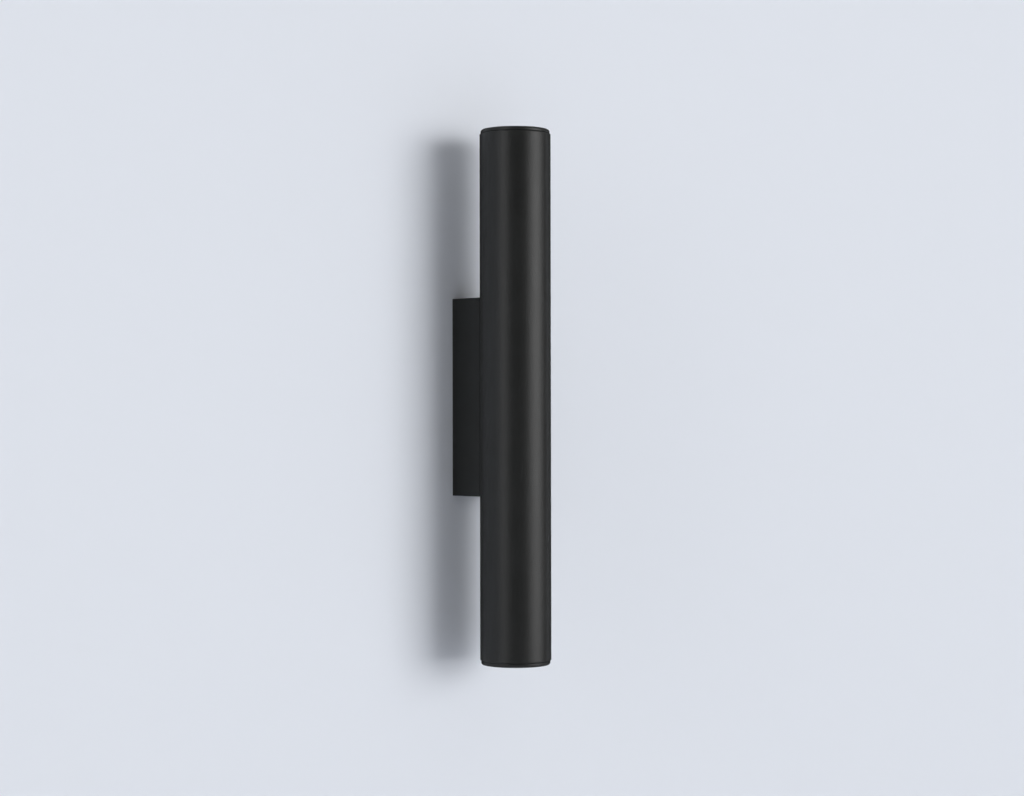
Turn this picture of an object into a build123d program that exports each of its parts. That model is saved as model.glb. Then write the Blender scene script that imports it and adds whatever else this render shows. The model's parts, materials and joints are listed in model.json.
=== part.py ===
from build123d import *
import os
from math import cos, pi, radians, sin, sqrt

# Tube wall light: an upright tube, open for light at both ends, on a saddle-cut back box.
# Millimetres. The origin is the centre of the wall plate's back, which lies on the wall.
# +X points right for someone facing the wall, +Y into the wall and +Z up.

# --- driving dimensions -------------------------------------------------------------------

OVERALL_HEIGHT = 450.0
TUBE_RADIUS = 30.0
TUBE_WALL = 2.0
AXIS_REACH = 56.0  # from the wall to the tube's axis
BOX_WIDTH = 40.0
BOX_HEIGHT = 168.0

# --- tube and end rings -------------------------------------------------------------------

BORE_RADIUS = TUBE_RADIUS - TUBE_WALL
AXIS_Y = -AXIS_REACH
RING_TOP = OVERALL_HEIGHT / 2
RING_RISE = 3.3  # the part of a ring that stands proud of the tube
SEAM = 0.25  # shadow gap between ring and tube
TUBE_END = RING_TOP - RING_RISE - SEAM
TUBE_EDGE_ROUND = 0.8

RING_RADIUS = 29.1
RING_EDGE_ROUND = 1.8
RING_DEPTH = 22.0
RING_FOOT = RING_TOP - RING_DEPTH
SPIGOT_RADIUS = BORE_RADIUS - 0.05
EXIT_RADIUS = 23.0
THREAD_PITCH = 1.5
THREAD_DEPTH = 0.5
THREAD_TURNS = 5
THREAD_START = RING_FOOT + 1.5
GROOVE_Z = RING_TOP - 6.0  # the seal's groove
GROOVE_HALF = 0.65
GROOVE_RADIUS = SPIGOT_RADIUS - 1.05
SEAL_SECTION = 0.5
GLASS_RADIUS = 25.0
GLASS_SEAT = RING_TOP - 10.0
GASKET_THICK = 1.0
GLASS_THICK = 3.0
GLASS_FOOT = GLASS_SEAT - GASKET_THICK - GLASS_THICK
CLIP_SECTION = 1.1
CLIP_DEPTH = 0.85  # how far the clip's groove goes into the ring's wall
CLIP_FOOT = GLASS_FOOT - CLIP_SECTION - 0.15
CLIP_GAP = 6.0

# --- back box -----------------------------------------------------------------------------

SADDLE_RADIUS = TUBE_RADIUS + 0.05
BOX_WALL = 2.0
BOX_END = 4.0
BOX_FLOOR_Y = -22.0  # the inner face that the screws and the terminal block sit on
BOX_HORN_Y = -33.2  # how far the box's sides reach along the tube
INNER_HALF_WIDTH = BOX_WIDTH / 2 - BOX_WALL
INNER_HALF_HEIGHT = BOX_HEIGHT / 2 - BOX_END
JOINT_SCREW_Z = 50.0
RUNNING_GAP = 0.05

# --- wall plate ---------------------------------------------------------------------------

SHEET = 1.5
PLATE_WIDTH = 35.0
PLATE_HALF_HEIGHT = 78.6
PLATE_SHOULDER = 74.5  # where the plate's full width ends
TAB_WIDTH = 24.0
TAB_REACH = 14.0
BEND_INNER = 1.0
SLOT_Z = 60.0
SLOT_WIDTH = 4.5
SLOT_LENGTH = 12.0
BOX_HOLE_Z = 30.0
CABLE_HOLE_RADIUS = 10.0
GROMMET_BORE = 5.0
LOCK_Y = -9.0

# --- chassis and lampholders --------------------------------------------------------------

STRIP_WIDTH = 20.0
STRIP_BACK = AXIS_Y + sqrt(BORE_RADIUS**2 - (STRIP_WIDTH / 2) ** 2) - 0.02
STRIP_FRONT = STRIP_BACK - SHEET
SHELF_TOP = 131.0
SHELF_FOOT = SHELF_TOP - SHEET
SHELF_HALF = (18.0, 14.0)
BUSHING_BARREL = 6.0
BUSHING_BORE = 4.0

HOLDER_SIZE = (34.0, 18.0, 20.0)
HOLDER_TOP = SHELF_TOP + HOLDER_SIZE[2]
HOLDER_SCREW_X = 12.5
HOLDER_SKIN = 3.0
CAVITY_FLOOR = HOLDER_TOP - 6.8
TWIST = 30.0  # degrees from locked to free

# --- lamp ---------------------------------------------------------------------------------

PIN_OFFSET = 5.0
PIN_NECK = 1.5
PIN_HEAD = 2.5
LAMP_FOOT = HOLDER_TOP + 0.5
LAMP_LENGTH = 50.0
LAMP_FACE = LAMP_FOOT + LAMP_LENGTH
LAMP_RADIUS = 25.0
PIN_TIP = LAMP_FOOT - 6.5
BOARD_Z = 185.0
LED_CIRCLE = 11.0
LED_COUNT = 6

# --- wiring -------------------------------------------------------------------------------

WIRE_RADIUS = 0.9
CORE_RADIUS = 0.45
BLOCK_Z = -30.0
BLOCK_SIZE = (24.0, 15.0, 17.5)
BLOCK_PITCH = 8.0
BLOCK_BORE_Y = BOX_FLOOR_Y + 6.0
LUG_HALF = 17.4
LUG_THICK = 3.0
LUG_SCREW_X = 14.7
EARTH_SCREW = (9.0, 22.0)

CENTRE = (Align.CENTER, Align.CENTER, Align.CENTER)


# --- helpers ------------------------------------------------------------------------------

def block(x, y, z):
    """A box between two limits along each axis."""
    size = [abs(b - a) for a, b in (x, y, z)]
    middle = [(a + b) / 2 for a, b in (x, y, z)]
    return Pos(*middle) * Box(*size, align=CENTRE)


def rod(radius, start, end):
    """A round bar from one point to another."""
    direction = Vector(*end) - Vector(*start)
    return Part() + Solid.make_cylinder(radius, direction.length, Plane(origin=start, z_dir=direction))


def lathe(points):
    """A profile of (radius, height) points, turned about the tube's axis."""
    outline = Polyline(*[(radius, AXIS_Y, height) for radius, height in points], close=True)
    return revolve(make_face(outline), Axis((0, AXIS_Y, 0), (0, 0, 1)))


def on_axis(x, z, y=0.0):
    """A point given from the tube's axis."""
    return (x, AXIS_Y + y, z)


def arc_slot(width, start, end, low, high):
    """A curved slot on the circle of the lamp's pins."""
    arc = CenterArc((0, 0), PIN_OFFSET, start, end - start)
    return Pos(0, AXIS_Y, low) * extrude(SlotArc(arc, width), high - low)


def both_pins(shape):
    """The shape and its copy half a turn round the tube's axis."""
    return shape, Pos(0, AXIS_Y, 0) * Rot(0, 0, 180) * Pos(0, -AXIS_Y, 0) * shape


def at_bottom(shape):
    """The same piece at the other end: half a turn about the Y axis."""
    return Rot(0, 180, 0) * shape


def circles(shape, radius, height):
    """The shape's round edges of one radius at one height."""
    return [
        edge
        for edge in shape.edges().filter_by(GeomType.CIRCLE)
        if abs(edge.radius - radius) < 0.01 and abs(edge.center().Z - height) < 0.01
    ]


def save(node, *pieces):
    solids = [solid for piece in pieces for solid in piece.solids()]
    shape = solids[0] if len(solids) == 1 else Compound(children=solids)
    shape.label = node
    export_step(shape, f"parts/{node}.step")


def save_ends(name, *pieces):
    """One node for the top end and its turned copy for the bottom end."""
    save(f"top_{name}", *pieces)
    save(f"bottom_{name}", *[at_bottom(piece) for piece in pieces])


# --- tube and back box --------------------------------------------------------------------

def thread_rings(crest, root):
    """Points of ring-shaped thread grooves, from the lowest up."""
    points = []
    for turn in range(THREAD_TURNS):
        low = THREAD_START + turn * THREAD_PITCH
        points += [(crest, low), (root, low + THREAD_PITCH / 2)]
    return points + [(crest, THREAD_START + THREAD_TURNS * THREAD_PITCH)]


def make_tube():
    tube = rod(TUBE_RADIUS, on_axis(0, -TUBE_END), on_axis(0, TUBE_END))
    tube -= rod(BORE_RADIUS, on_axis(0, -TUBE_END), on_axis(0, TUBE_END))
    for end in (-TUBE_END, TUBE_END):
        tube = fillet(circles(tube, TUBE_RADIUS, end), TUBE_EDGE_ROUND)
    grooves = lathe(
        [(BORE_RADIUS - 1, THREAD_START)]
        + thread_rings(BORE_RADIUS, BORE_RADIUS + THREAD_DEPTH)
        + [(BORE_RADIUS - 1, THREAD_START + THREAD_TURNS * THREAD_PITCH)]
    )
    tube -= grooves
    tube -= at_bottom(grooves)
    for z in (-JOINT_SCREW_Z, JOINT_SCREW_Z):
        tube -= rod(2.15, (0, AXIS_Y, z), (0, 0, z))
    return tube - rod(BUSHING_BARREL + RUNNING_GAP, (0, AXIS_Y, 0), (0, 0, 0))


def make_back_box():
    half_width, half_height = BOX_WIDTH / 2, BOX_HEIGHT / 2
    body = block((-half_width, half_width), (BOX_HORN_Y, 0), (-half_height, half_height))
    body = fillet(body.edges().filter_by(Axis.Y), 0.6)
    inside = block(
        (-INNER_HALF_WIDTH, INNER_HALF_WIDTH),
        (BOX_FLOOR_Y, 1),
        (-INNER_HALF_HEIGHT, INNER_HALF_HEIGHT),
    )
    body -= fillet(inside.edges().filter_by(Axis.Y), 2.0)
    body -= rod(SADDLE_RADIUS, on_axis(0, -BOX_HEIGHT), on_axis(0, BOX_HEIGHT))
    for z in (-JOINT_SCREW_Z, JOINT_SCREW_Z):
        body -= rod(2.15, (0, AXIS_Y, z), (0, 0, z))
    body -= rod(BUSHING_BARREL + RUNNING_GAP, (0, AXIS_Y, 0), (0, 0, 0))
    body -= rod(2.0 + RUNNING_GAP, (0, LOCK_Y, -BOX_HEIGHT), (0, LOCK_Y, BOX_HEIGHT))
    x, z = EARTH_SCREW
    body -= rod(2.0, (x, BOX_FLOOR_Y - 3.6, z), (x, 0, z))
    for x in (-LUG_SCREW_X, LUG_SCREW_X):
        body -= rod(1.25, (x, BOX_FLOOR_Y - 5.5, BLOCK_Z), (x, 0, BLOCK_Z))
    return body


# --- end rings ----------------------------------------------------------------------------

def make_ring():
    under_flange = TUBE_END + SEAM
    profile = [(EXIT_RADIUS, GLASS_SEAT)]
    for step in range(3):
        low = GLASS_SEAT + 1.6 + 2.4 * step
        profile += [(EXIT_RADIUS, low), (EXIT_RADIUS + 0.7, low + 0.6)]
        profile += [(EXIT_RADIUS + 0.7, low + 1.2), (EXIT_RADIUS, low + 1.8)]
    profile += [(EXIT_RADIUS, RING_TOP - 0.6), (EXIT_RADIUS + 0.6, RING_TOP), (RING_RADIUS, RING_TOP)]
    profile += [(RING_RADIUS, under_flange), (SPIGOT_RADIUS, under_flange)]
    profile += [(SPIGOT_RADIUS, GROOVE_Z + GROOVE_HALF), (GROOVE_RADIUS, GROOVE_Z + GROOVE_HALF)]
    profile += [(GROOVE_RADIUS, GROOVE_Z - GROOVE_HALF), (SPIGOT_RADIUS, GROOVE_Z - GROOVE_HALF)]
    profile += thread_rings(SPIGOT_RADIUS, SPIGOT_RADIUS - THREAD_DEPTH)[::-1]
    profile += [(SPIGOT_RADIUS, RING_FOOT + 0.5), (SPIGOT_RADIUS - 0.5, RING_FOOT)]
    inner = GLASS_RADIUS + 0.1
    clip_low, clip_high = CLIP_FOOT - 0.05, CLIP_FOOT + CLIP_SECTION + 0.05
    profile += [(inner, RING_FOOT), (inner, clip_low), (inner + CLIP_DEPTH, clip_low)]
    profile += [(inner + CLIP_DEPTH, clip_high), (inner, clip_high), (inner, GLASS_SEAT)]
    ring = lathe(profile)
    ring = fillet(circles(ring, RING_RADIUS, RING_TOP), RING_EDGE_ROUND)
    return fillet(circles(ring, RING_RADIUS, under_flange), 0.3)


def disc_ring(inner, outer, low, high):
    return rod(outer, on_axis(0, low), on_axis(0, high)) - rod(inner, on_axis(0, low), on_axis(0, high))


def make_clip():
    """An open spring ring that holds the glass up in its seat."""
    outer = GLASS_RADIUS + CLIP_DEPTH
    ring = disc_ring(outer - 1.5, outer, CLIP_FOOT, CLIP_FOOT + CLIP_SECTION)
    gap = block(
        (-CLIP_GAP / 2, CLIP_GAP / 2),
        (AXIS_Y - outer - 1, AXIS_Y),
        (CLIP_FOOT - 1, CLIP_FOOT + CLIP_SECTION + 1),
    )
    return ring - gap


def make_end_ring_pieces():
    save_ends("ring", make_ring())
    seal = Solid.make_torus(GROOVE_RADIUS + SEAL_SECTION + 0.02, SEAL_SECTION, Plane(on_axis(0, GROOVE_Z)))
    save_ends("o_ring", Part() + seal)
    glass = rod(GLASS_RADIUS, on_axis(0, GLASS_FOOT), on_axis(0, GLASS_FOOT + GLASS_THICK))
    rims = circles(glass, GLASS_RADIUS, GLASS_FOOT) + circles(glass, GLASS_RADIUS, GLASS_FOOT + GLASS_THICK)
    save_ends("glass", chamfer(rims, 0.3))
    save_ends("glass_gasket", disc_ring(EXIT_RADIUS + 0.2, GLASS_RADIUS, GLASS_SEAT - GASKET_THICK, GLASS_SEAT))
    save_ends("glass_clip", make_clip())


# --- wall plate ---------------------------------------------------------------------------

def make_wall_plate():
    half = PLATE_WIDTH / 2
    plate = block((-half, half), (-SHEET, 0), (-PLATE_SHOULDER, PLATE_SHOULDER))
    plate = fillet(plate.edges().filter_by(Axis.Y), 2.5)
    tab_half = TAB_WIDTH / 2
    for side in (-1, 1):
        end = side * PLATE_HALF_HEIGHT
        inner = end - side * SHEET
        tab = block((-tab_half, tab_half), (-TAB_REACH, 0), (side * 66, end))
        tab -= block((-tab_half, tab_half), (-TAB_REACH, -SHEET), (side * 66, inner))
        along_x = tab.edges().filter_by(Axis.X)
        tab = fillet([e for e in along_x if near(e, 0, end)], BEND_INNER + SHEET)
        along_x = tab.edges().filter_by(Axis.X)
        tab = fillet([e for e in along_x if near(e, -SHEET, inner)], BEND_INNER)
        plate += tab
    for z in (-SLOT_Z, SLOT_Z):
        straight = SLOT_LENGTH - SLOT_WIDTH
        plate -= block((-SLOT_WIDTH / 2, SLOT_WIDTH / 2), (-3, 1), (z - straight / 2, z + straight / 2))
        for end in (z - straight / 2, z + straight / 2):
            plate -= rod(SLOT_WIDTH / 2, (0, -3, end), (0, 1, end))
    for z in (-BOX_HOLE_Z, BOX_HOLE_Z):
        plate -= rod(SLOT_WIDTH / 2, (0, -3, z), (0, 1, z))
    return plate - rod(CABLE_HOLE_RADIUS, (0, -3, 0), (0, 1, 0))


def near(edge, y, z):
    centre = edge.center()
    return abs(centre.Y - y) < 0.01 and abs(centre.Z - z) < 0.01


def make_cable_grommet():
    barrel = rod(CABLE_HOLE_RADIUS, (0, -0.3, 0), (0, -SHEET, 0))
    flange = rod(CABLE_HOLE_RADIUS + 2, (0, -SHEET, 0), (0, -SHEET - 1.2, 0))
    return barrel + flange - rod(GROMMET_BORE, (0, 0, 0), (0, -5, 0))


def hex_socket(depth, across_flats, tip, direction):
    """The socket of a hexagon key, as a solid to cut away."""
    plane = Plane(origin=tip, z_dir=direction)
    return extrude(plane * RegularPolygon(across_flats / 2, 6, major_radius=False), -depth)


def make_lock_screw():
    """The grub screw through the box's top wall, over the plate's tab."""
    head, tip = BOX_HEIGHT / 2 - 0.3, PLATE_HALF_HEIGHT + 0.1
    screw = rod(2.0, (0, LOCK_Y, tip), (0, LOCK_Y, head))
    screw = chamfer(circles(screw, 2.0, tip), 0.5)
    return screw - hex_socket(2.2, 2.0, (0, LOCK_Y, head), (0, 0, 1))


# --- chassis and its fasteners ------------------------------------------------------------

def make_chassis():
    half = STRIP_WIDTH / 2
    strip = block((-half, half), (STRIP_FRONT, STRIP_BACK), (-SHELF_TOP, SHELF_TOP))
    for side in (-1, 1):
        neck = block((-half, half), (AXIS_Y, STRIP_BACK), (side * SHELF_FOOT, side * SHELF_TOP))
        pad_x, pad_y = SHELF_HALF
        pad = block(
            (-pad_x, pad_x), (AXIS_Y - pad_y, AXIS_Y + pad_y), (side * SHELF_FOOT, side * SHELF_TOP)
        )
        strip += neck + fillet(pad.edges().filter_by(Axis.Z), 4.0)
        along_x = strip.edges().filter_by(Axis.X)
        outer = [e for e in along_x if near(e, STRIP_BACK, side * SHELF_TOP)]
        strip = fillet(outer, BEND_INNER + SHEET)
        along_x = strip.edges().filter_by(Axis.X)
        inner = [e for e in along_x if near(e, STRIP_FRONT, side * SHELF_FOOT)]
        strip = fillet(inner, BEND_INNER)
        for x in (-HOLDER_SCREW_X, HOLDER_SCREW_X):
            strip -= rod(1.6, on_axis(x, side * 120), on_axis(x, side * 140))
        for x in (-PIN_OFFSET, PIN_OFFSET):
            strip -= rod(2.2, on_axis(x, side * 120), on_axis(x, side * 140))
    for z in (-JOINT_SCREW_Z, JOINT_SCREW_Z):
        strip -= rod(2.15, (0, AXIS_Y, z), (0, 0, z))
    return strip - rod(BUSHING_BARREL + RUNNING_GAP, (0, AXIS_Y, 0), (0, 0, 0))


def pan_head_screw(radius, length, head_radius, head_height, seat, direction):
    """A screw whose head sits on seat and whose shank runs along direction."""
    step = Vector(*direction).normalized()
    seat = Vector(*seat)
    top = seat - step * head_height
    screw = rod(head_radius, tuple(top), tuple(seat)) + rod(radius, tuple(seat), tuple(seat + step * length))
    cross = Plane(origin=tuple(top), z_dir=tuple(-step))
    slot_length, slot_width = head_radius * 1.2, head_radius * 0.22
    drive = extrude(cross * Rectangle(slot_length, slot_width), -head_height * 0.6)
    drive += extrude(cross * Rectangle(slot_width, slot_length), -head_height * 0.6)
    return screw - drive


def make_joint_screws():
    return [
        pan_head_screw(2.0, 14.0, 3.9, 2.6, (0, BOX_FLOOR_Y, z), (0, -1, 0))
        for z in (-JOINT_SCREW_Z, JOINT_SCREW_Z)
    ]


def make_chassis_nuts():
    nuts = []
    for z in (-JOINT_SCREW_Z, JOINT_SCREW_Z):
        nut = rod(4.0, (0, STRIP_FRONT, z), (0, STRIP_FRONT - 3.2, z))
        nuts.append(nut - rod(2.02, (0, 0, z), (0, AXIS_Y, z)))
    return nuts


def make_wire_bushing():
    flange = rod(7.0, (0, BOX_FLOOR_Y, 0), (0, BOX_FLOOR_Y + 1.4, 0))
    barrel = rod(BUSHING_BARREL, (0, BOX_FLOOR_Y, 0), (0, STRIP_FRONT - 1.4, 0))
    lip = rod(BUSHING_BARREL + 0.6, (0, STRIP_FRONT - 0.1, 0), (0, STRIP_FRONT - 1.1, 0))
    return flange + barrel + lip - rod(BUSHING_BORE, (0, 0, 0), (0, AXIS_Y, 0))


# --- lampholder ---------------------------------------------------------------------------

def make_lampholder():
    length, width, height = HOLDER_SIZE
    body = block(
        (-length / 2, length / 2), (AXIS_Y - width / 2, AXIS_Y + width / 2), (SHELF_TOP, HOLDER_TOP)
    )
    body = fillet(body.edges().filter_by(Axis.Z), 5.0)
    body = chamfer(body.faces().sort_by(Axis.Z)[-1].edges(), 0.6)
    for x in (-HOLDER_SCREW_X, HOLDER_SCREW_X):
        body -= rod(1.6, on_axis(x, SHELF_TOP - 1), on_axis(x, HOLDER_TOP))
        body -= rod(3.1, on_axis(x, HOLDER_TOP - 5.5), on_axis(x, HOLDER_TOP + 1))
    skin_foot = HOLDER_TOP - HOLDER_SKIN
    slot = arc_slot(2 * PIN_NECK + 0.3, 0, TWIST, skin_foot, HOLDER_TOP + 1)
    entry_x, entry_y = PIN_OFFSET * cos(radians(TWIST)), PIN_OFFSET * sin(radians(TWIST))
    entry = rod(PIN_HEAD + 0.2, on_axis(entry_x, skin_foot, entry_y), on_axis(entry_x, HOLDER_TOP + 1, entry_y))
    cavity = arc_slot(2 * PIN_HEAD + 1.0, -6, TWIST + 6, CAVITY_FLOOR, skin_foot)
    well = rod(1.6, on_axis(PIN_OFFSET, SHELF_TOP - 1), on_axis(PIN_OFFSET, CAVITY_FLOOR))
    for cut in (slot, entry, cavity, well):
        for copy in both_pins(cut):
            body -= copy
    return body


def make_holder_contacts():
    """A sprung plate under each pin, with a crimp tube for the wire below it."""
    plate = arc_slot(4.6, -3, TWIST + 3, CAVITY_FLOOR + 0.1, CAVITY_FLOOR + 0.5)
    stem = rod(0.8, on_axis(PIN_OFFSET, CAVITY_FLOOR + 0.2), on_axis(PIN_OFFSET, SHELF_TOP + 10.5))
    crimp = rod(1.4, on_axis(PIN_OFFSET, SHELF_TOP + 3), on_axis(PIN_OFFSET, SHELF_TOP + 11))
    bore = rod(CORE_RADIUS + 0.05, on_axis(PIN_OFFSET, SHELF_TOP + 3), on_axis(PIN_OFFSET, SHELF_TOP + 9.5))
    return both_pins(plate + stem + crimp - bore)


def make_holder_screws():
    return [
        pan_head_screw(1.5, 20.0, 2.8, 2.2, on_axis(x, HOLDER_TOP - 5.5), (0, 0, -1))
        for x in (-HOLDER_SCREW_X, HOLDER_SCREW_X)
    ]


def make_holder_nuts():
    nuts = []
    for x in (-HOLDER_SCREW_X, HOLDER_SCREW_X):
        plane = Plane(on_axis(x, SHELF_FOOT - 2.4))
        nut = extrude(plane * RegularPolygon(2.75, 6, major_radius=False), 2.4)
        nuts.append(nut - rod(1.52, on_axis(x, SHELF_FOOT - 3), on_axis(x, SHELF_FOOT + 1)))
    return nuts


# --- lamp ---------------------------------------------------------------------------------

def make_lamp_shell():
    """A finned metal cup from the base's collar to the face."""
    collar = LAMP_FOOT + 9.0
    shell = lathe(
        [
            (13.6, collar),
            (15.0, collar),
            (15.0, collar + 5.5),
            (22.4, BOARD_Z - 1),
            (23.6, LAMP_FACE - 12),
            (LAMP_RADIUS, LAMP_FACE - 8),
            (LAMP_RADIUS, LAMP_FACE - 0.4),
            (LAMP_RADIUS - 0.4, LAMP_FACE),
            (LAMP_RADIUS - 1.4, LAMP_FACE),
            (LAMP_RADIUS - 1.4, LAMP_FACE - 3.8),
            (LAMP_RADIUS - 2.4, LAMP_FACE - 3.8),
            (LAMP_RADIUS - 2.4, LAMP_FACE - 8),
            (21.0, BOARD_Z + 2),
            (21.0, BOARD_Z),
            (18.6, BOARD_Z),
            (13.6, collar + 6),
        ]
    )
    fin_outline = Polyline(
        (14.2, AXIS_Y, collar + 2),
        (16.5, AXIS_Y, collar + 3),
        (LAMP_RADIUS - 0.3, AXIS_Y, LAMP_FACE - 14),
        (LAMP_RADIUS - 0.3, AXIS_Y, LAMP_FACE - 7),
        (LAMP_RADIUS - 1.2, AXIS_Y, LAMP_FACE - 7),
        (22.0, AXIS_Y, BOARD_Z + 1),
        (14.2, AXIS_Y, collar + 6),
        close=True,
    )
    fin = extrude(make_face(fin_outline), 0.6, dir=(0, 1, 0), both=True)
    count = 20
    fins = [
        Pos(0, AXIS_Y, 0) * Rot(0, 0, turn * 360 / count) * Pos(0, -AXIS_Y, 0) * fin
        for turn in range(count)
    ]
    return shell + fins


def make_lamp_lens():
    """A clear disc with one cone-shaped collimator over each light-emitting chip."""
    seat = LAMP_FACE - 3.7
    lens = rod(LAMP_RADIUS - 1.5, on_axis(0, seat), on_axis(0, seat + 2.8))
    for x, y in led_places():
        plane = Plane(on_axis(x, BOARD_Z + 3.2, y))
        lens += Part() + Solid.make_cone(2.6, 4.9, seat + 0.5 - BOARD_Z - 3.2, plane)
    return lens


def led_places():
    places = [(0.0, 0.0)]
    for number in range(LED_COUNT):
        angle = 2 * pi * number / LED_COUNT
        places.append((LED_CIRCLE * cos(angle), LED_CIRCLE * sin(angle)))
    return places


def make_led_board():
    board = rod(20.8, on_axis(0, BOARD_Z), on_axis(0, BOARD_Z + 1.6))
    for x, y in led_places():
        top = BOARD_Z + 2.4
        board += block((x - 1.75, x + 1.75), (AXIS_Y + y - 1.75, AXIS_Y + y + 1.75), (BOARD_Z + 1.6, top))
    return board


def make_lamp_pins():
    head_top = HOLDER_TOP - HOLDER_SKIN - 0.15
    head = rod(PIN_HEAD, on_axis(PIN_OFFSET, PIN_TIP), on_axis(PIN_OFFSET, head_top))
    head = chamfer(head.edges(), 0.3)
    neck = rod(PIN_NECK, on_axis(PIN_OFFSET, head_top - 1), on_axis(PIN_OFFSET, LAMP_FOOT + 3))
    return both_pins(head + neck)


def make_lamp_base(pins):
    foot = LAMP_FOOT
    base = lathe(
        [
            (0, foot),
            (12.9, foot),
            (13.5, foot + 0.6),
            (13.5, foot + 14.5),
            (12.0, foot + 14.5),
            (12.0, foot + 3),
            (0, foot + 3),
        ]
    )
    for pin in pins:
        base -= pin
    return base


def make_lamp_pieces():
    pins = make_lamp_pins()
    save_ends("lamp_shell", make_lamp_shell())
    save_ends("lamp_lens", make_lamp_lens())
    save_ends("lamp_led_board", make_led_board())
    save_ends("lamp_base", make_lamp_base(pins))
    save_ends("lamp_pins", *pins)


# --- terminal block and earth -------------------------------------------------------------

POLES = (-BLOCK_PITCH, 0.0, BLOCK_PITCH)


def clamp_box(x):
    half = 7.75
    return block((x - 2.6, x + 2.6), (BOX_FLOOR_Y + 2.5, BOX_FLOOR_Y + 10.5), (BLOCK_Z - half, BLOCK_Z + half))


def make_terminal_block():
    width, depth, height = BLOCK_SIZE
    low, high = BLOCK_Z - height / 2, BLOCK_Z + height / 2
    body = block((-width / 2, width / 2), (BOX_FLOOR_Y, BOX_FLOOR_Y + depth), (low, high))
    for gap in (-BLOCK_PITCH / 2, BLOCK_PITCH / 2):
        body -= block((gap - 0.6, gap + 0.6), (BOX_FLOOR_Y + 9, BOX_FLOOR_Y + depth), (low, high))
    body += block((-LUG_HALF, LUG_HALF), (BOX_FLOOR_Y, BOX_FLOOR_Y + LUG_THICK), (BLOCK_Z - 4, BLOCK_Z + 4))
    for x in (-LUG_SCREW_X, LUG_SCREW_X):
        body -= rod(1.35, (x, BOX_FLOOR_Y, BLOCK_Z), (x, 0, BLOCK_Z))
    for x in POLES:
        body -= clamp_box(x)
        body -= rod(2.1, (x, BLOCK_BORE_Y, low), (x, BLOCK_BORE_Y, high))
        for z in (BLOCK_Z - 4, BLOCK_Z + 4):
            body -= rod(1.8, (x, BOX_FLOOR_Y + 9, z), (x, 0, z))
    return body


def make_terminal_clamps():
    clamps = []
    for x in POLES:
        clamp = clamp_box(x) - rod(1.9, (x, BLOCK_BORE_Y, BLOCK_Z - 9), (x, BLOCK_BORE_Y, BLOCK_Z + 9))
        for z in (BLOCK_Z - 4, BLOCK_Z + 4):
            clamp -= rod(1.5, (x, BLOCK_BORE_Y, z), (x, 0, z))
        clamps.append(clamp)
    return clamps


def make_terminal_screws():
    """The upper row clamps the inner wires, and the lower row stands open for the supply cable."""
    screws = []
    for x in POLES:
        for z, tip in ((BLOCK_Z + 4, BLOCK_BORE_Y + CORE_RADIUS + 0.05), (BLOCK_Z - 4, BLOCK_BORE_Y + 1.6)):
            screw = rod(1.48, (x, tip, z), (x, tip + 6.5, z))
            screw -= block((x - 1.3, x + 1.3), (tip + 5.7, tip + 6.5), (z - 0.25, z + 0.25))
            screws.append(screw)
    return screws


def make_terminal_fixing_screws():
    return [
        pan_head_screw(1.25, 8.0, 2.3, 1.8, (x, BOX_FLOOR_Y + LUG_THICK, BLOCK_Z), (0, -1, 0))
        for x in (-LUG_SCREW_X, LUG_SCREW_X)
    ]


def make_ring_terminal():
    x, z = EARTH_SCREW
    plate = rod(4.0, (x, BOX_FLOOR_Y, z), (x, BOX_FLOOR_Y + 0.8, z))
    plate += block((x - 1.5, x + 1.5), (BOX_FLOOR_Y, BOX_FLOOR_Y + 0.8), (z - 7, z))
    barrel_y = BOX_FLOOR_Y + 1.6
    plate += rod(1.6, (x, barrel_y, z - 11), (x, barrel_y, z - 5.5))
    plate -= rod(CORE_RADIUS + 0.05, (x, barrel_y, z - 12), (x, barrel_y, z - 6))
    return plate - rod(2.1, (x, BOX_FLOOR_Y - 1, z), (x, 0, z))


def make_earth_screw():
    x, z = EARTH_SCREW
    return pan_head_screw(1.98, 4.2, 3.8, 2.6, (x, BOX_FLOOR_Y + 0.8, z), (0, -1, 0))


# --- wires --------------------------------------------------------------------------------

def make_wire(name, points, bends, bare_start, bare_end):
    """An insulated wire along rounded straight runs, with a bare core at each end."""
    path = FilletPolyline(*points, radius=bends)
    start, end = Vector(*points[0]), Vector(*points[-1])
    first = (Vector(*points[1]) - start).normalized()
    last = (end - Vector(*points[-2])).normalized()
    wire = sweep(Plane(origin=start, z_dir=first) * Circle(WIRE_RADIUS), path=path.wire())
    expected = path.length * pi * WIRE_RADIUS**2
    print(name, "length", round(path.length), "volume / expected", round(wire.volume / expected, 4))
    wire += rod(CORE_RADIUS, tuple(start - first * bare_start), tuple(start + first * 0.5))
    return wire + rod(CORE_RADIUS, tuple(end - last * 0.5), tuple(end + last * bare_end))


def make_lamp_wire(name, side, up):
    """From the terminal block, through the bushing, along the strip and up or down to a holder."""
    pole_x = side * (BLOCK_PITCH + (0.95 if up > 0 else -0.95))
    bundle_x, bundle_z = side * 1.3, up * 1.3
    front = STRIP_FRONT - 6.5
    holder_x = side * PIN_OFFSET
    points = [
        (pole_x, BLOCK_BORE_Y, BLOCK_Z + 8.2),
        (pole_x, BLOCK_BORE_Y, -13.0 + 2 * up),
        (bundle_x, -12.8 + 1.2 * up, bundle_z),
        (bundle_x, front, bundle_z),
        (holder_x, front, up * 18),
        (holder_x, front, up * 104),
        (holder_x, AXIS_Y, up * 120),
        (holder_x, AXIS_Y, up * (SHELF_TOP + 2.6)),
    ]
    return make_wire(name, points, (4.0, 5.0, 5.0, 12.0, 12.0, 6.0), 6.5, 5.5)


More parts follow.
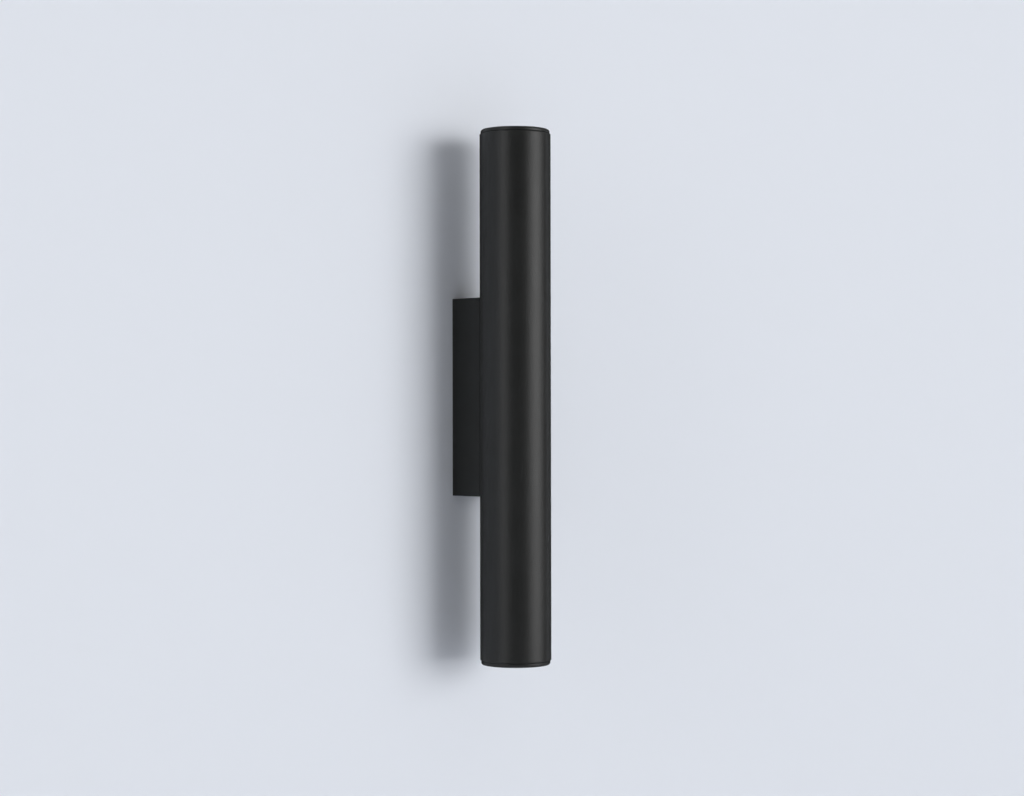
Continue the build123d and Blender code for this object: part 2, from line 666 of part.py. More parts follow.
def make_earth_wire():
    x, z = EARTH_SCREW
    barrel_y = BOX_FLOOR_Y + 1.6
    points = [
        (0, BLOCK_BORE_Y, BLOCK_Z + 8.2),
        (0, BLOCK_BORE_Y, -16.5),
        (6, -9.5, -10),
        (11.5, -10, 0),
        (x, barrel_y, z - 18),
        (x, barrel_y, z - 11.3),
    ]
    return make_wire("earth_wire", points, (3.0, 4.0, 4.0, 3.0), 6.5, 4.8)


# --- build --------------------------------------------------------------------------------

os.makedirs("parts", exist_ok=True)

save("tube", make_tube())
save("back_box", make_back_box())
make_end_ring_pieces()

save("wall_plate", make_wall_plate())
save("cable_grommet", make_cable_grommet())
lock_screw = make_lock_screw()
save("upper_lock_screw", lock_screw)
save("lower_lock_screw", at_bottom(lock_screw))

save("chassis", make_chassis())
save("joint_screws", *make_joint_screws())
save("chassis_nuts", *make_chassis_nuts())
save("wire_bushing", make_wire_bushing())

save_ends("lampholder", make_lampholder())
save_ends("holder_contacts", *make_holder_contacts())
save_ends("holder_screws", *make_holder_screws())
save_ends("holder_nuts", *make_holder_nuts())
make_lamp_pieces()

save("terminal_block", make_terminal_block())
save("terminal_clamps", *make_terminal_clamps())
save("terminal_screws", *make_terminal_screws())
save("terminal_fixing_screws", *make_terminal_fixing_screws())
save("ring_terminal", make_ring_terminal())
save("earth_screw", make_earth_screw())

save("earth_wire", make_earth_wire())
for end_name, up in (("top", 1), ("bottom", -1)):
    for pole_name, side in (("live", -1), ("neutral", 1)):
        wire_name = f"{end_name}_{pole_name}_wire"
        save(wire_name, make_lamp_wire(wire_name, side, up))
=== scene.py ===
import json
import math

import bmesh
import bpy
from mathutils import Matrix, Vector

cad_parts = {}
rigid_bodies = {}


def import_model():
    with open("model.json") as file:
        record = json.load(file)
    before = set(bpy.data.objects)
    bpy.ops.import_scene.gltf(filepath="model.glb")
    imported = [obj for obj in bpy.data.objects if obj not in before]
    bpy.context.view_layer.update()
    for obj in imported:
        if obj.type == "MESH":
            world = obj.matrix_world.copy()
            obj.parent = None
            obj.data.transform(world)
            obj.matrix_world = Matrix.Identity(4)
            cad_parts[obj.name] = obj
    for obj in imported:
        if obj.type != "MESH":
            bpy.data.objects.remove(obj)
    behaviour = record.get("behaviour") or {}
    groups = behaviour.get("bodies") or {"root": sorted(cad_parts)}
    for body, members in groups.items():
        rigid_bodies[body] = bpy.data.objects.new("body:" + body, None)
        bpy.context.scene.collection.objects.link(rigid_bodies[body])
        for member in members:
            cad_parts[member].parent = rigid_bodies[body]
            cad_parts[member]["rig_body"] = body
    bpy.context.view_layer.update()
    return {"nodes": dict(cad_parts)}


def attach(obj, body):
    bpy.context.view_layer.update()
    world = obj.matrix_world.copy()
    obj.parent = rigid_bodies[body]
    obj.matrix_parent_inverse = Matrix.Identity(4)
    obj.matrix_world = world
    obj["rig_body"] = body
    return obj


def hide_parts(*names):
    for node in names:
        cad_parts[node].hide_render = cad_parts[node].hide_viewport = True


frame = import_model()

nodes = frame["nodes"]
mm = 0.001

axisY = -56 * mm  # the tube's axis; the wall is at nought
print("frame loaded,", len(nodes), "nodes")


# a small language for node trees: sockets take part in plain arithmetic
class Flow:
    def __init__(self, graph, socket):
        self.graph = graph
        self.socket = socket

    def __add__(self, other):
        return self.graph.maths("ADD", self, other)

    def __radd__(self, other):
        return self.graph.maths("ADD", other, self)

    def __sub__(self, other):
        return self.graph.maths("SUBTRACT", self, other)

    def __rsub__(self, other):
        return self.graph.maths("SUBTRACT", other, self)

    def __mul__(self, other):
        return self.graph.maths("MULTIPLY", self, other)

    def __rmul__(self, other):
        return self.graph.maths("MULTIPLY", other, self)

    def __truediv__(self, other):
        return self.graph.maths("DIVIDE", self, other)

    def __rtruediv__(self, other):
        return self.graph.maths("DIVIDE", other, self)


class Graph:
    def __init__(self, tree):
        self.tree = tree

    # settings are set first, then sockets, which take a value, a Flow or a list of Flows
    def add(self, kind, settings=None, sockets=None, output=0):
        node = self.tree.nodes.new(kind)
        node.location = (200 * len(self.tree.nodes), 0)
        for key, value in (settings or {}).items():
            setattr(node, key, value)
        for key, value in (sockets or {}).items():
            flows = value if isinstance(value, list) else [value]
            if isinstance(flows[0], Flow):
                for flow in flows:
                    self.tree.links.new(flow.socket, node.inputs[key])
            else:
                node.inputs[key].default_value = value
        return Flow(self, node.outputs[output]) if len(node.outputs) else node

    def maths(self, operation, *values):
        return self.add("ShaderNodeMath", {"operation": operation}, dict(enumerate(values)))

    def smooth(self, value, low, high, first=0.0, last=1.0):
        settings = {"interpolation_type": "SMOOTHSTEP"}
        sockets = {"Value": value, "From Min": low, "From Max": high, "To Min": first, "To Max": last}
        return self.add("ShaderNodeMapRange", settings, sockets)

    def mix(self, factor, first, second):
        sockets = {"Factor": factor, 6: first, 7: second}
        return self.add("ShaderNodeMix", {"data_type": "RGBA"}, sockets, 2)

    def scaled(self, place, scale):
        return self.add("ShaderNodeMapping", sockets={"Vector": place, "Scale": scale})

    def noise(self, place, scale, detail=2.0):
        sockets = {"Vector": place, "Scale": scale, "Detail": detail}
        return self.add("ShaderNodeTexNoise", sockets=sockets)

    def bump(self, height, distance, under=None):
        sockets = {"Height": height, "Distance": distance}
        if under is not None:
            sockets["Normal"] = under
        return self.add("ShaderNodeBump", sockets=sockets)

    def split(self, vector):
        node = self.tree.nodes.new("ShaderNodeSeparateXYZ")
        self.tree.links.new(vector.socket, node.inputs[0])
        return [Flow(self, socket) for socket in node.outputs]

    def moved(self, shape, x, y, z=0.0):
        point = self.add("ShaderNodeCombineXYZ", sockets={"X": x, "Y": y, "Z": z})
        return self.add("GeometryNodeSetPosition", sockets={"Geometry": shape, "Position": point})

    def named(self, name, kind):
        return self.add("GeometryNodeInputNamedAttribute", {"data_type": kind}, {"Name": name})


def addObject(name, data):
    holder = bpy.data.objects.new(name, data)
    bpy.context.scene.collection.objects.link(holder)
    return holder


# at the photograph's angle, to the left of the light and level with its middle
cameraSetup = {
    "reach": 1.8494,  # metres from the tube's axis, along the floor
    "side": 44.83,  # degrees round from straight on
    "height": -0.01458,
    "tilt": 0.424,  # degrees up
    "swing": -0.089,
    "roll": -0.085,
    "lens": 77.19,
    "sensor": 36,
    "clip": (0.01, 60),
}


def makeCamera(setup):
    side = math.radians(setup["side"])
    turn = side + math.radians(setup["swing"])
    tilt, roll = math.radians(setup["tilt"]), math.radians(setup["roll"])
    forward = Vector((math.sin(turn) * math.cos(tilt), math.cos(turn) * math.cos(tilt), math.sin(tilt)))
    flatRight = Vector((math.cos(turn), -math.sin(turn), 0))
    flatUp = flatRight.cross(forward)
    right = flatRight * math.cos(roll) + flatUp * math.sin(roll)
    up = flatUp * math.cos(roll) - flatRight * math.sin(roll)
    camera = bpy.data.cameras.new("photoCamera")
    camera.lens = setup["lens"]
    camera.sensor_width = setup["sensor"]
    camera.clip_start, camera.clip_end = setup["clip"]
    holder = addObject("photoCamera", camera)
    place = Vector((-math.sin(side), -math.cos(side), 0)) * setup["reach"]
    place += Vector((0, axisY, setup["height"]))
    basis = Matrix((right, up, -forward)).transposed().to_4x4()
    holder.matrix_world = Matrix.Translation(place) @ basis
    bpy.context.scene.camera = holder


makeCamera(cameraSetup)
bpy.context.scene.view_settings.view_transform = "Standard"
print("camera set")


# a pale wall, a pale floor and soft light that comes from the world
studio = {
    "wallColour": (0.800, 0.830, 0.885, 1),
    "floorColour": (0.78, 0.80, 0.85, 1),
    "backdrop": (0.716, 0.745, 0.807, 1),  # what a camera ray meets past the wall and floor
    "wallHalf": 7.0,
    "floorDrop": 2.2,
    "gap": 0.0002,  # between the plate's back and the wall
    "touch": 0.001,  # a ray that starts this close to the wall goes through it
    "ambient": 0.229,
    "rear": 0.6,  # behind the wall, where only the plate's back sees it
    "rearFrom": (0.02, 0.3),
    "overhead": 0.545,
    "overheadFrom": (35.0, 60.0),
    "keyLight": 7.16,
    "keySide": 25.0,  # degrees to the right of the wall's normal
    "keyLift": 5.0,
    "keyHalf": (20.0, 14.0),
    "keyEdge": (9.0, 9.0),
    "leftLight": 4.15,  # a bright side of the room, along the wall on the left
    "leftSide": -90.0,
    "leftLift": 14.0,
    "leftHalf": (17.0, 24.0),
    "leftEdge": (6.0, 16.0),
}


# a soft-edged patch of the sky, as wide and high as its half angles
def makePatch(graph, side, lift, setup, name):
    patch = setup[name + "Light"]
    centres = (setup[name + "Side"], setup[name + "Lift"])
    for angle, centre, half, edge in zip((side, lift), centres, setup[name + "Half"], setup[name + "Edge"]):
        away = graph.maths("ABSOLUTE", angle - centre)
        patch = graph.smooth(away, half - edge, half + edge, 1.0, 0.0) * patch
    return patch


def makeWorld(setup):
    world = bpy.data.worlds.new("softStudio")
    bpy.context.scene.world = world
    world.use_nodes = True
    world.node_tree.nodes.clear()
    graph = Graph(world.node_tree)
    direction = graph.add("ShaderNodeTexCoord", output="Generated")
    x, y, z = graph.split(direction)
    side = graph.maths("ARCTAN2", x, -1 * y) * (180 / math.pi)
    lift = graph.maths("ARCSINE", z) * (180 / math.pi)
    patches = makePatch(graph, side, lift, setup, "key") + makePatch(graph, side, lift, setup, "left")
    overhead = graph.smooth(lift, *setup["overheadFrom"]) * setup["overhead"]
    rear = graph.smooth(y, *setup["rearFrom"]) * setup["rear"]
    strength = patches + overhead + rear + setup["ambient"]
    studioLight = graph.add("ShaderNodeBackground", sockets={"Strength": strength})
    plainBack = graph.add("ShaderNodeBackground", sockets={"Color": setup["backdrop"]})
    # glossy rays keep the soft patches, which make the highlights on the black paint
    seen = graph.add("ShaderNodeLightPath", output="Is Camera Ray")
    through = graph.add("ShaderNodeLightPath", output="Is Transmission Ray")
    plain = graph.maths("MAXIMUM", seen, through)
    shown = graph.add("ShaderNodeMixShader", sockets={0: plain, 1: studioLight, 2: plainBack})
    graph.add("ShaderNodeOutputWorld", sockets={"Surface": shown})


def newMaterial(name):
    material = bpy.data.materials.new(name)
    material.use_nodes = True
    material.node_tree.nodes.clear()
    return material, Graph(material.node_tree)


# seen from behind, the wall is clear, and what touches it is lit as if it were not there
def stageMaterial(name, colour, touch):
    material, graph = newMaterial(name)
    paint = graph.add("ShaderNodeBsdfDiffuse", sockets={"Color": colour})
    clear = graph.add("ShaderNodeBsdfTransparent")
    behind = graph.add("ShaderNodeNewGeometry", output="Backfacing")
    touching = graph.maths("LESS_THAN", graph.add("ShaderNodeLightPath", output="Ray Length"), touch)
    sockets = {0: graph.maths("MAXIMUM", behind, touching), 1: paint, 2: clear}
    shown = graph.add("ShaderNodeMixShader", sockets=sockets)
    graph.add("ShaderNodeOutputMaterial", sockets={"Surface": shown})
    return material


def makeStage(setup):
    half, drop, gap = setup["wallHalf"], setup["floorDrop"], setup["gap"]
    foot = [(-half, gap, -drop), (half, gap, -drop)]
    farEdges = {
        "wall": [(half, gap, half - drop), (-half, gap, half - drop)],
        "floor": [(half, -2 * half, -drop), (-half, -2 * half, -drop)],
    }
    for name, farEdge in farEdges.items():
        mesh = bpy.data.meshes.new(name)
        corners = foot + farEdge if name == "wall" else (foot + farEdge)[::-1]
        mesh.from_pydata(corners, [], [(0, 1, 2, 3)])
        mesh.materials.append(stageMaterial(name + "Paint", setup[name + "Colour"], setup["touch"]))
        addObject(name, mesh)


makeWorld(studio)
makeStage(studio)
print("studio set")


# a finish starts from the place on its piece and ends in one shader
def newFinish(name):
    material, graph = newMaterial(name)
    return material, graph, graph.add("ShaderNodeTexCoord", output="Object")


def finishWith(graph, material, sockets):
    surface = graph.add("ShaderNodeBsdfPrincipled", sockets=sockets)
    graph.add("ShaderNodeOutputMaterial", sockets={"Surface": surface})
    return material


# how much of a noise's middle two shades, or two glosses, blend over
blends = {"wide": (0.35, 0.65), "middling": (0.36, 0.64), "narrow": (0.38, 0.62)}

blackCoat = {
    "colours": ((0.0098, 0.0103, 0.0097, 1), (0.0112, 0.0117, 0.0111, 1)),
    "roughness": (0.350, 0.370),
    "glancing": (0.45, 0.80),  # where the coat's fine bumps begin to dull it, and where they have
    "dulled": 0.60,
    "gloss": 0.285,
    "patches": 45,
    "grain": 1400,  # bumps of the sprayed coat in a metre
    "grainHeight": 0.00014,
}


def makeBlackCoat(look):
    material, graph, place = newFinish("blackPowderCoat")
    patches = graph.noise(place, look["patches"], 3.0)
    grain = graph.noise(place, look["grain"], 1.0)
    facing = graph.add("ShaderNodeLayerWeight", sockets={"Blend": 0.5}, output="Facing")
    dulled = graph.smooth(facing, *look["glancing"], 0.0, look["dulled"])
    sockets = {
        "Base Color": graph.mix(graph.smooth(patches, *blends["wide"]), *look["colours"]),
        "Roughness": graph.smooth(patches, *blends["wide"], *look["roughness"]) + dulled,
        "Specular IOR Level": look["gloss"],
        "Normal": graph.bump(grain, look["grainHeight"]),
    }
    return finishWith(graph, material, sockets)


# small spots on a metal, and what its patches count for in its wear, beside its lines
metalSpots = {"finer": 4, "edge": (0.66, 0.74), "weight": 0.5, "share": 0.6}

# metals differ in their colours, in how far they shine and in the lines that working them leaves
metals = {
    "zincPlate": {
        "colours": ((0.58, 0.59, 0.60, 1), (0.52, 0.535, 0.56, 1)),
        "patches": 420,
        "roughness": (0.27, 0.40),
        "lines": (900, 900, 60),
        "lineHeight": 0.00003,
        "spots": (0.72, 0.60, 0.42, 1),
    },
    "springSteel": {
        "colours": ((0.42, 0.42, 0.43, 1), (0.33, 0.33, 0.35, 1)),
        "patches": 300,
        "roughness": (0.28, 0.40),
        "lines": (200, 200, 2400),
        "lineHeight": 0.00002,
        "spots": (0.36, 0.31, 0.27, 1),
    },
    "blackedSteel": {
        "colours": ((0.035, 0.035, 0.038, 1), (0.055, 0.053, 0.055, 1)),
        "patches": 400,
        "roughness": (0.34, 0.50),
        "lines": (1500, 1500, 1500),
        "lineHeight": 0.00003,
        "spots": (0.11, 0.10, 0.09, 1),
    },
    "castBrass": {
        "colours": ((0.74, 0.55, 0.26, 1), (0.62, 0.44, 0.20, 1)),
        "patches": 260,
        "roughness": (0.24, 0.42),
        "lines": (1200, 1200, 1200),
        "lineHeight": 0.00004,
        "spots": (0.45, 0.30, 0.15, 1),
    },
    "copperAlloy": {
        "colours": ((0.80, 0.46, 0.28, 1), (0.66, 0.36, 0.20, 1)),
        "patches": 350,
        "roughness": (0.22, 0.40),
        "lines": (2200, 400, 400),
        "lineHeight": 0.00002,
        "spots": (0.42, 0.22, 0.13, 1),
    },
    "lampAluminium": {
        "colours": ((0.72, 0.73, 0.74, 1), (0.60, 0.61, 0.63, 1)),
        "patches": 120,
        "roughness": (0.30, 0.46),
        "lines": (150, 150, 2600),
        "lineHeight": 0.00003,
        "spots": (0.50, 0.50, 0.50, 1),
    },
}


def makeMetal(name, look):
    material, graph, place = newFinish(name)
    patches = graph.noise(place, look["patches"], 4.0)
    lines = graph.noise(graph.scaled(place, look["lines"]), 1.0, 3.0)
    fine = graph.noise(place, look["patches"] * metalSpots["finer"], 2.0)
    spots = graph.smooth(fine, *metalSpots["edge"]) * metalSpots["weight"]
    base = graph.mix(graph.smooth(patches, *blends["narrow"]), *look["colours"])
    wear = patches * metalSpots["share"] + lines * (1 - metalSpots["share"])
    sockets = {
        "Base Color": graph.mix(spots, base, look["spots"]),
        "Metallic": 1.0,
        "Roughness": graph.smooth(wear, *blends["wide"], *look["roughness"]),
        "Normal": graph.bump(lines, look["lineHeight"]),
    }
    return finishWith(graph, material, sockets)


# specks on a moulding, and what its patches count for in its wear, beside its skin
mouldingSpecks = {"coarser": 0.6, "edge": (0.70, 0.76), "weight": 0.7, "share": 0.5}

# mouldings, rubbers and glazes: two shades, a fine skin and now and then a speck
mouldings = {
    "blackRubber": {
        "colours": ((0.014, 0.014, 0.015, 1), (0.022, 0.022, 0.023, 1)),
        "patches": 160,
        "roughness": (0.52, 0.68),
        "gloss": 0.4,
        "skin": 1800,
        "skinHeight": 0.00008,
        "speck": (0.035, 0.035, 0.036, 1),
    },
    "greySilicone": {
        "colours": ((0.36, 0.37, 0.38, 1), (0.43, 0.44, 0.45, 1)),
        "patches": 120,
        "roughness": (0.42, 0.56),
        "skin": 900,
        "skinHeight": 0.00004,
        "speck": (0.52, 0.53, 0.54, 1),
    },
    "glazedCeramic": {
        "colours": ((0.80, 0.79, 0.75, 1), (0.72, 0.70, 0.66, 1)),
        "patches": 90,
        "roughness": (0.22, 0.42),
        "skin": 700,
        "skinHeight": 0.00010,
        "speck": (0.45, 0.40, 0.34, 1),
        "coat": 0.25,
    },
    "whitePlastic": {
        "colours": ((0.80, 0.80, 0.77, 1), (0.75, 0.75, 0.72, 1)),
        "patches": 70,
        "roughness": (0.34, 0.46),
        "skin": 2200,
        "skinHeight": 0.00005,
        "speck": (0.66, 0.65, 0.61, 1),
    },
}
insulations = {
    "brownInsulation": ((0.105, 0.040, 0.018, 1), (0.135, 0.052, 0.024, 1), (0.16, 0.07, 0.03, 1)),
    "blueInsulation": ((0.012, 0.085, 0.34, 1), (0.018, 0.105, 0.40, 1), (0.03, 0.14, 0.45, 1)),
}
for name, (first, second, speck) in insulations.items():
    mouldings[name] = {
        "colours": (first, second),
        "patches": 200,
        "roughness": (0.36, 0.48),
        "skin": 2500,
        "skinHeight": 0.00004,
        "speck": speck,
    }


def makeMoulding(name, look):
    material, graph, place = newFinish(name)
    patches = graph.noise(place, look["patches"], 3.0)
    skin = graph.noise(place, look["skin"], 2.0)
    coarse = graph.noise(place, look["skin"] * mouldingSpecks["coarser"], 1.0)
    specks = graph.smooth(coarse, *mouldingSpecks["edge"]) * mouldingSpecks["weight"]
    base = graph.mix(graph.smooth(patches, *blends["middling"]), *look["colours"])
    wear = patches * mouldingSpecks["share"] + skin * (1 - mouldingSpecks["share"])
    sockets = {
        "Base Color": graph.mix(specks, base, look["speck"]),
        "Roughness": graph.smooth(wear, *blends["middling"], *look["roughness"]),
        "Specular IOR Level": look.get("gloss", 0.5),
        "Coat Weight": look.get("coat", 0.0),
        "Normal": graph.bump(skin, look["skinHeight"]),
    }
    return finishWith(graph, material, sockets)


# the earth wire's two colours follow the wire, from an attribute that its node tree leaves on it
earthLook = {
    "green": (0.020, 0.190, 0.035, 1),
    "yellow": (0.640, 0.430, 0.015, 1),
    "edge": (0.27, 0.33),  # of the stripe, which runs from -1 to 1 round the wire
    "roughness": (0.36, 0.48),
    "skin": 2500,
    "skinHeight": 0.00004,
}


def makeEarthInsulation(look):
    material, graph, place = newFinish("stripedInsulation")
    stripe = graph.add("ShaderNodeAttribute", {"attribute_name": "stripe"}, output="Fac")
    skin = graph.noise(place, look["skin"], 2.0)
    sockets = {
        "Base Color": graph.mix(graph.smooth(stripe, *look["edge"]), look["green"], look["yellow"]),
        "Roughness": graph.smooth(skin, *blends["middling"], *look["roughness"]),
        "Normal": graph.bump(skin, look["skinHeight"]),
    }
    return finishWith(graph, material, sockets)


# smears that wiping leaves, a little longer one way
smearLook = {"stretch": (1.0, 1.6, 1.0), "edge": (0.45, 0.70)}
clearLook = {
    "clearGlass": {"tint": (0.955, 0.985, 0.972, 1), "bend": 1.5, "roughness": (0.0, 0.035), "smears": 70},
    "clearLens": {"tint": (0.97, 0.975, 0.98, 1), "bend": 1.49, "roughness": (0.01, 0.06), "smears": 220},
}


def makeClear(name, look):
    material, graph, place = newFinish(name)
    smears = graph.noise(graph.scaled(place, smearLook["stretch"]), look["smears"], 3.0)
    sockets = {
        "Base Color": look["tint"],
        "Transmission Weight": 1.0,
        "IOR": look["bend"],
        "Roughness": graph.smooth(smears, *smearLook["edge"], *look["roughness"]),
    }
    return finishWith(graph, material, sockets)


# white lacquer over copper: the tracks between the chips stand up a little under it
boardLook = {
    "lacquer": (0.80, 0.80, 0.78, 1),
    "track": (0.70, 0.71, 0.69, 1),
    "trackCircle": 11.0 * mm,
    "trackHalf": 1.2 * mm,
    "trackHeight": 0.00005,
    "weave": (1400, 1400, 200),
    "weaveHeight": 0.00002,
    "weaveBlend": (0.3, 0.7),
    "roughness": (0.30, 0.42),
}


def makeBoardFinish(look):
    material, graph, place = newFinish("whiteLacquer")
    x, y, _ = graph.split(place)
    reach = graph.maths("SQRT", x * x + (y - axisY) * (y - axisY))
    away = graph.maths("ABSOLUTE", reach - look["trackCircle"])
    track = graph.smooth(away, look["trackHalf"] * 0.9, look["trackHalf"], 1.0, 0.0)
    weave = graph.noise(graph.scaled(place, look["weave"]), 1.0, 1.0)
    relief = graph.bump(track, look["trackHeight"])
    sockets = {
        "Base Color": graph.mix(track, look["lacquer"], look["track"]),
        "Roughness": graph.smooth(weave, *look["weaveBlend"], *look["roughness"]),
        "Normal": graph.bump(weave, look["weaveHeight"], relief),
    }
    return finishWith(graph, material, sockets)


phosphorLook = {
    "colours": ((0.86, 0.56, 0.07, 1), (0.93, 0.68, 0.14, 1)),
    "grains": 5200,
    "grainHeight": 0.00002,
    "roughness": (0.28, 0.44),
}


def makePhosphor(look):
    material, graph, place = newFinish("phosphor")
    grains = graph.noise(place, look["grains"], 2.0)
    sockets = {
        "Base Color": graph.mix(graph.smooth(grains, *blends["wide"]), *look["colours"]),
        "Roughness": graph.smooth(grains, *blends["wide"], *look["roughness"]),
        "Normal": graph.bump(grains, look["grainHeight"]),
    }
    return finishWith(graph, material, sockets)


finishes = {name: makeMetal(name, look) for name, look in metals.items()}
finishes.update({name: makeMoulding(name, look) for name, look in mouldings.items()})
finishes.update({name: makeClear(name, look) for name, look in clearLook.items()})
finishes["blackPowderCoat"] = makeBlackCoat(blackCoat)
finishes["stripedInsulation"] = makeEarthInsulation(earthLook)
finishes["whiteLacquer"] = makeBoardFinish(boardLook)
finishes["phosphor"] = makePhosphor(phosphorLook)
print("finishes made:", len(finishes))


# node trees that build meshes: each starts from the piece's own mesh and named sizes
def startTree(name, inputs):
    tree = bpy.data.node_groups.new(name, "GeometryNodeTree")
    tree.interface.new_socket("Geometry", in_out="INPUT", socket_type="NodeSocketGeometry")
    for label, kind in inputs.items():
        tree.interface.new_socket(label, in_out="INPUT", socket_type="NodeSocket" + kind)
    tree.interface.new_socket("Geometry", in_out="OUTPUT", socket_type="NodeSocketGeometry")
    graph = Graph(tree)
    source = tree.nodes.new("NodeGroupInput")
    return graph, {socket.name: Flow(graph, socket) for socket in source.outputs if socket.name}


def endTree(graph, shape, material):
    solid = graph.add("GeometryNodeRealizeInstances", sockets={"Geometry": shape})
    painted = graph.add("GeometryNodeSetMaterial", sockets={"Geometry": solid, "Material": material})
    graph.add("NodeGroupOutput", sockets={"Geometry": painted})
    return graph.tree


# a drawn profile goes once round the upright axis, and a thread is pressed into it
def makeTurningTree():
    sizes = {"Segments": "Int", "Path Radius": "Float", "Pitch": "Float", "Material": "Material"}
    graph, given = startTree("turnProfile", sizes)
    radius, height, _ = graph.split(graph.add("GeometryNodeInputPosition"))
    # the sweep lays a profile's x outwards from its circle, and its y downwards
    laid = graph.moved(given["Geometry"], radius - given["Path Radius"], -1 * height)
    profile = graph.add("GeometryNodeMeshToCurve", sockets={"Mesh": laid})
    around = {"Resolution": given["Segments"], "Radius": given["Path Radius"]}
    circle = graph.add("GeometryNodeCurvePrimitiveCircle", sockets=around)
    upright = graph.add("GeometryNodeSetCurveNormal", {"mode": "Z_UP"}, {"Curve": circle})
    swept = graph.add("GeometryNodeCurveToMesh", sockets={"Curve": upright, "Profile Curve": profile})
    x, y, z = graph.split(graph.add("GeometryNodeInputPosition"))
    reach = graph.maths("SQRT", x * x + y * y)
    turn = graph.maths("ARCTAN2", y, x) / (2 * math.pi)
    groove = graph.maths("PINGPONG", z / given["Pitch"] - turn, 0.5) * 2
    grown = 1 + graph.named("threadDepth", "FLOAT") * groove / reach
    threaded = graph.moved(swept, x * grown, y * grown, z)
    closed = graph.add("GeometryNodeMergeByDistance", sockets={"Geometry": threaded, "Distance": 0.000001})
    return endTree(graph, closed, given["Material"])


# copies of one piece stand on the mesh's points, each turned by the point's own angles
def makeCopyTree():
    sizes = {"Piece": "Object", "Recess": "Object", "Has Recess": "Bool", "Material": "Material"}
    graph, given = startTree("copyPiece", sizes)
    whole = graph.add("GeometryNodeObjectInfo", sockets={"Object": given["Piece"]}, output="Geometry")
    recess = graph.add("GeometryNodeObjectInfo", sockets={"Object": given["Recess"]}, output="Geometry")
    settings = {"operation": "DIFFERENCE", "solver": "EXACT"}
    cut = graph.add("GeometryNodeMeshBoolean", settings, {"Mesh 1": whole, "Mesh 2": recess})
    choice = {"Switch": given["Has Recess"], "False": whole, "True": cut}
    piece = graph.add("GeometryNodeSwitch", {"input_type": "GEOMETRY"}, choice)
    turn = {"Euler": graph.named("turn", "FLOAT_VECTOR")}
    facing = graph.add("FunctionNodeEulerToRotation", sockets=turn)
    placing = {"Points": given["Geometry"], "Instance": piece, "Rotation": facing}
    copies = graph.add("GeometryNodeInstanceOnPoints", sockets=placing)
    return endTree(graph, copies, given["Material"])


# the bare ends, as an outline with a lobe for each strand that shows, turned along the wire
strandLook = {"points": 30, "lobes": 6, "valley": 0.84, "steps": 28, "underCover": 0.5 * mm}


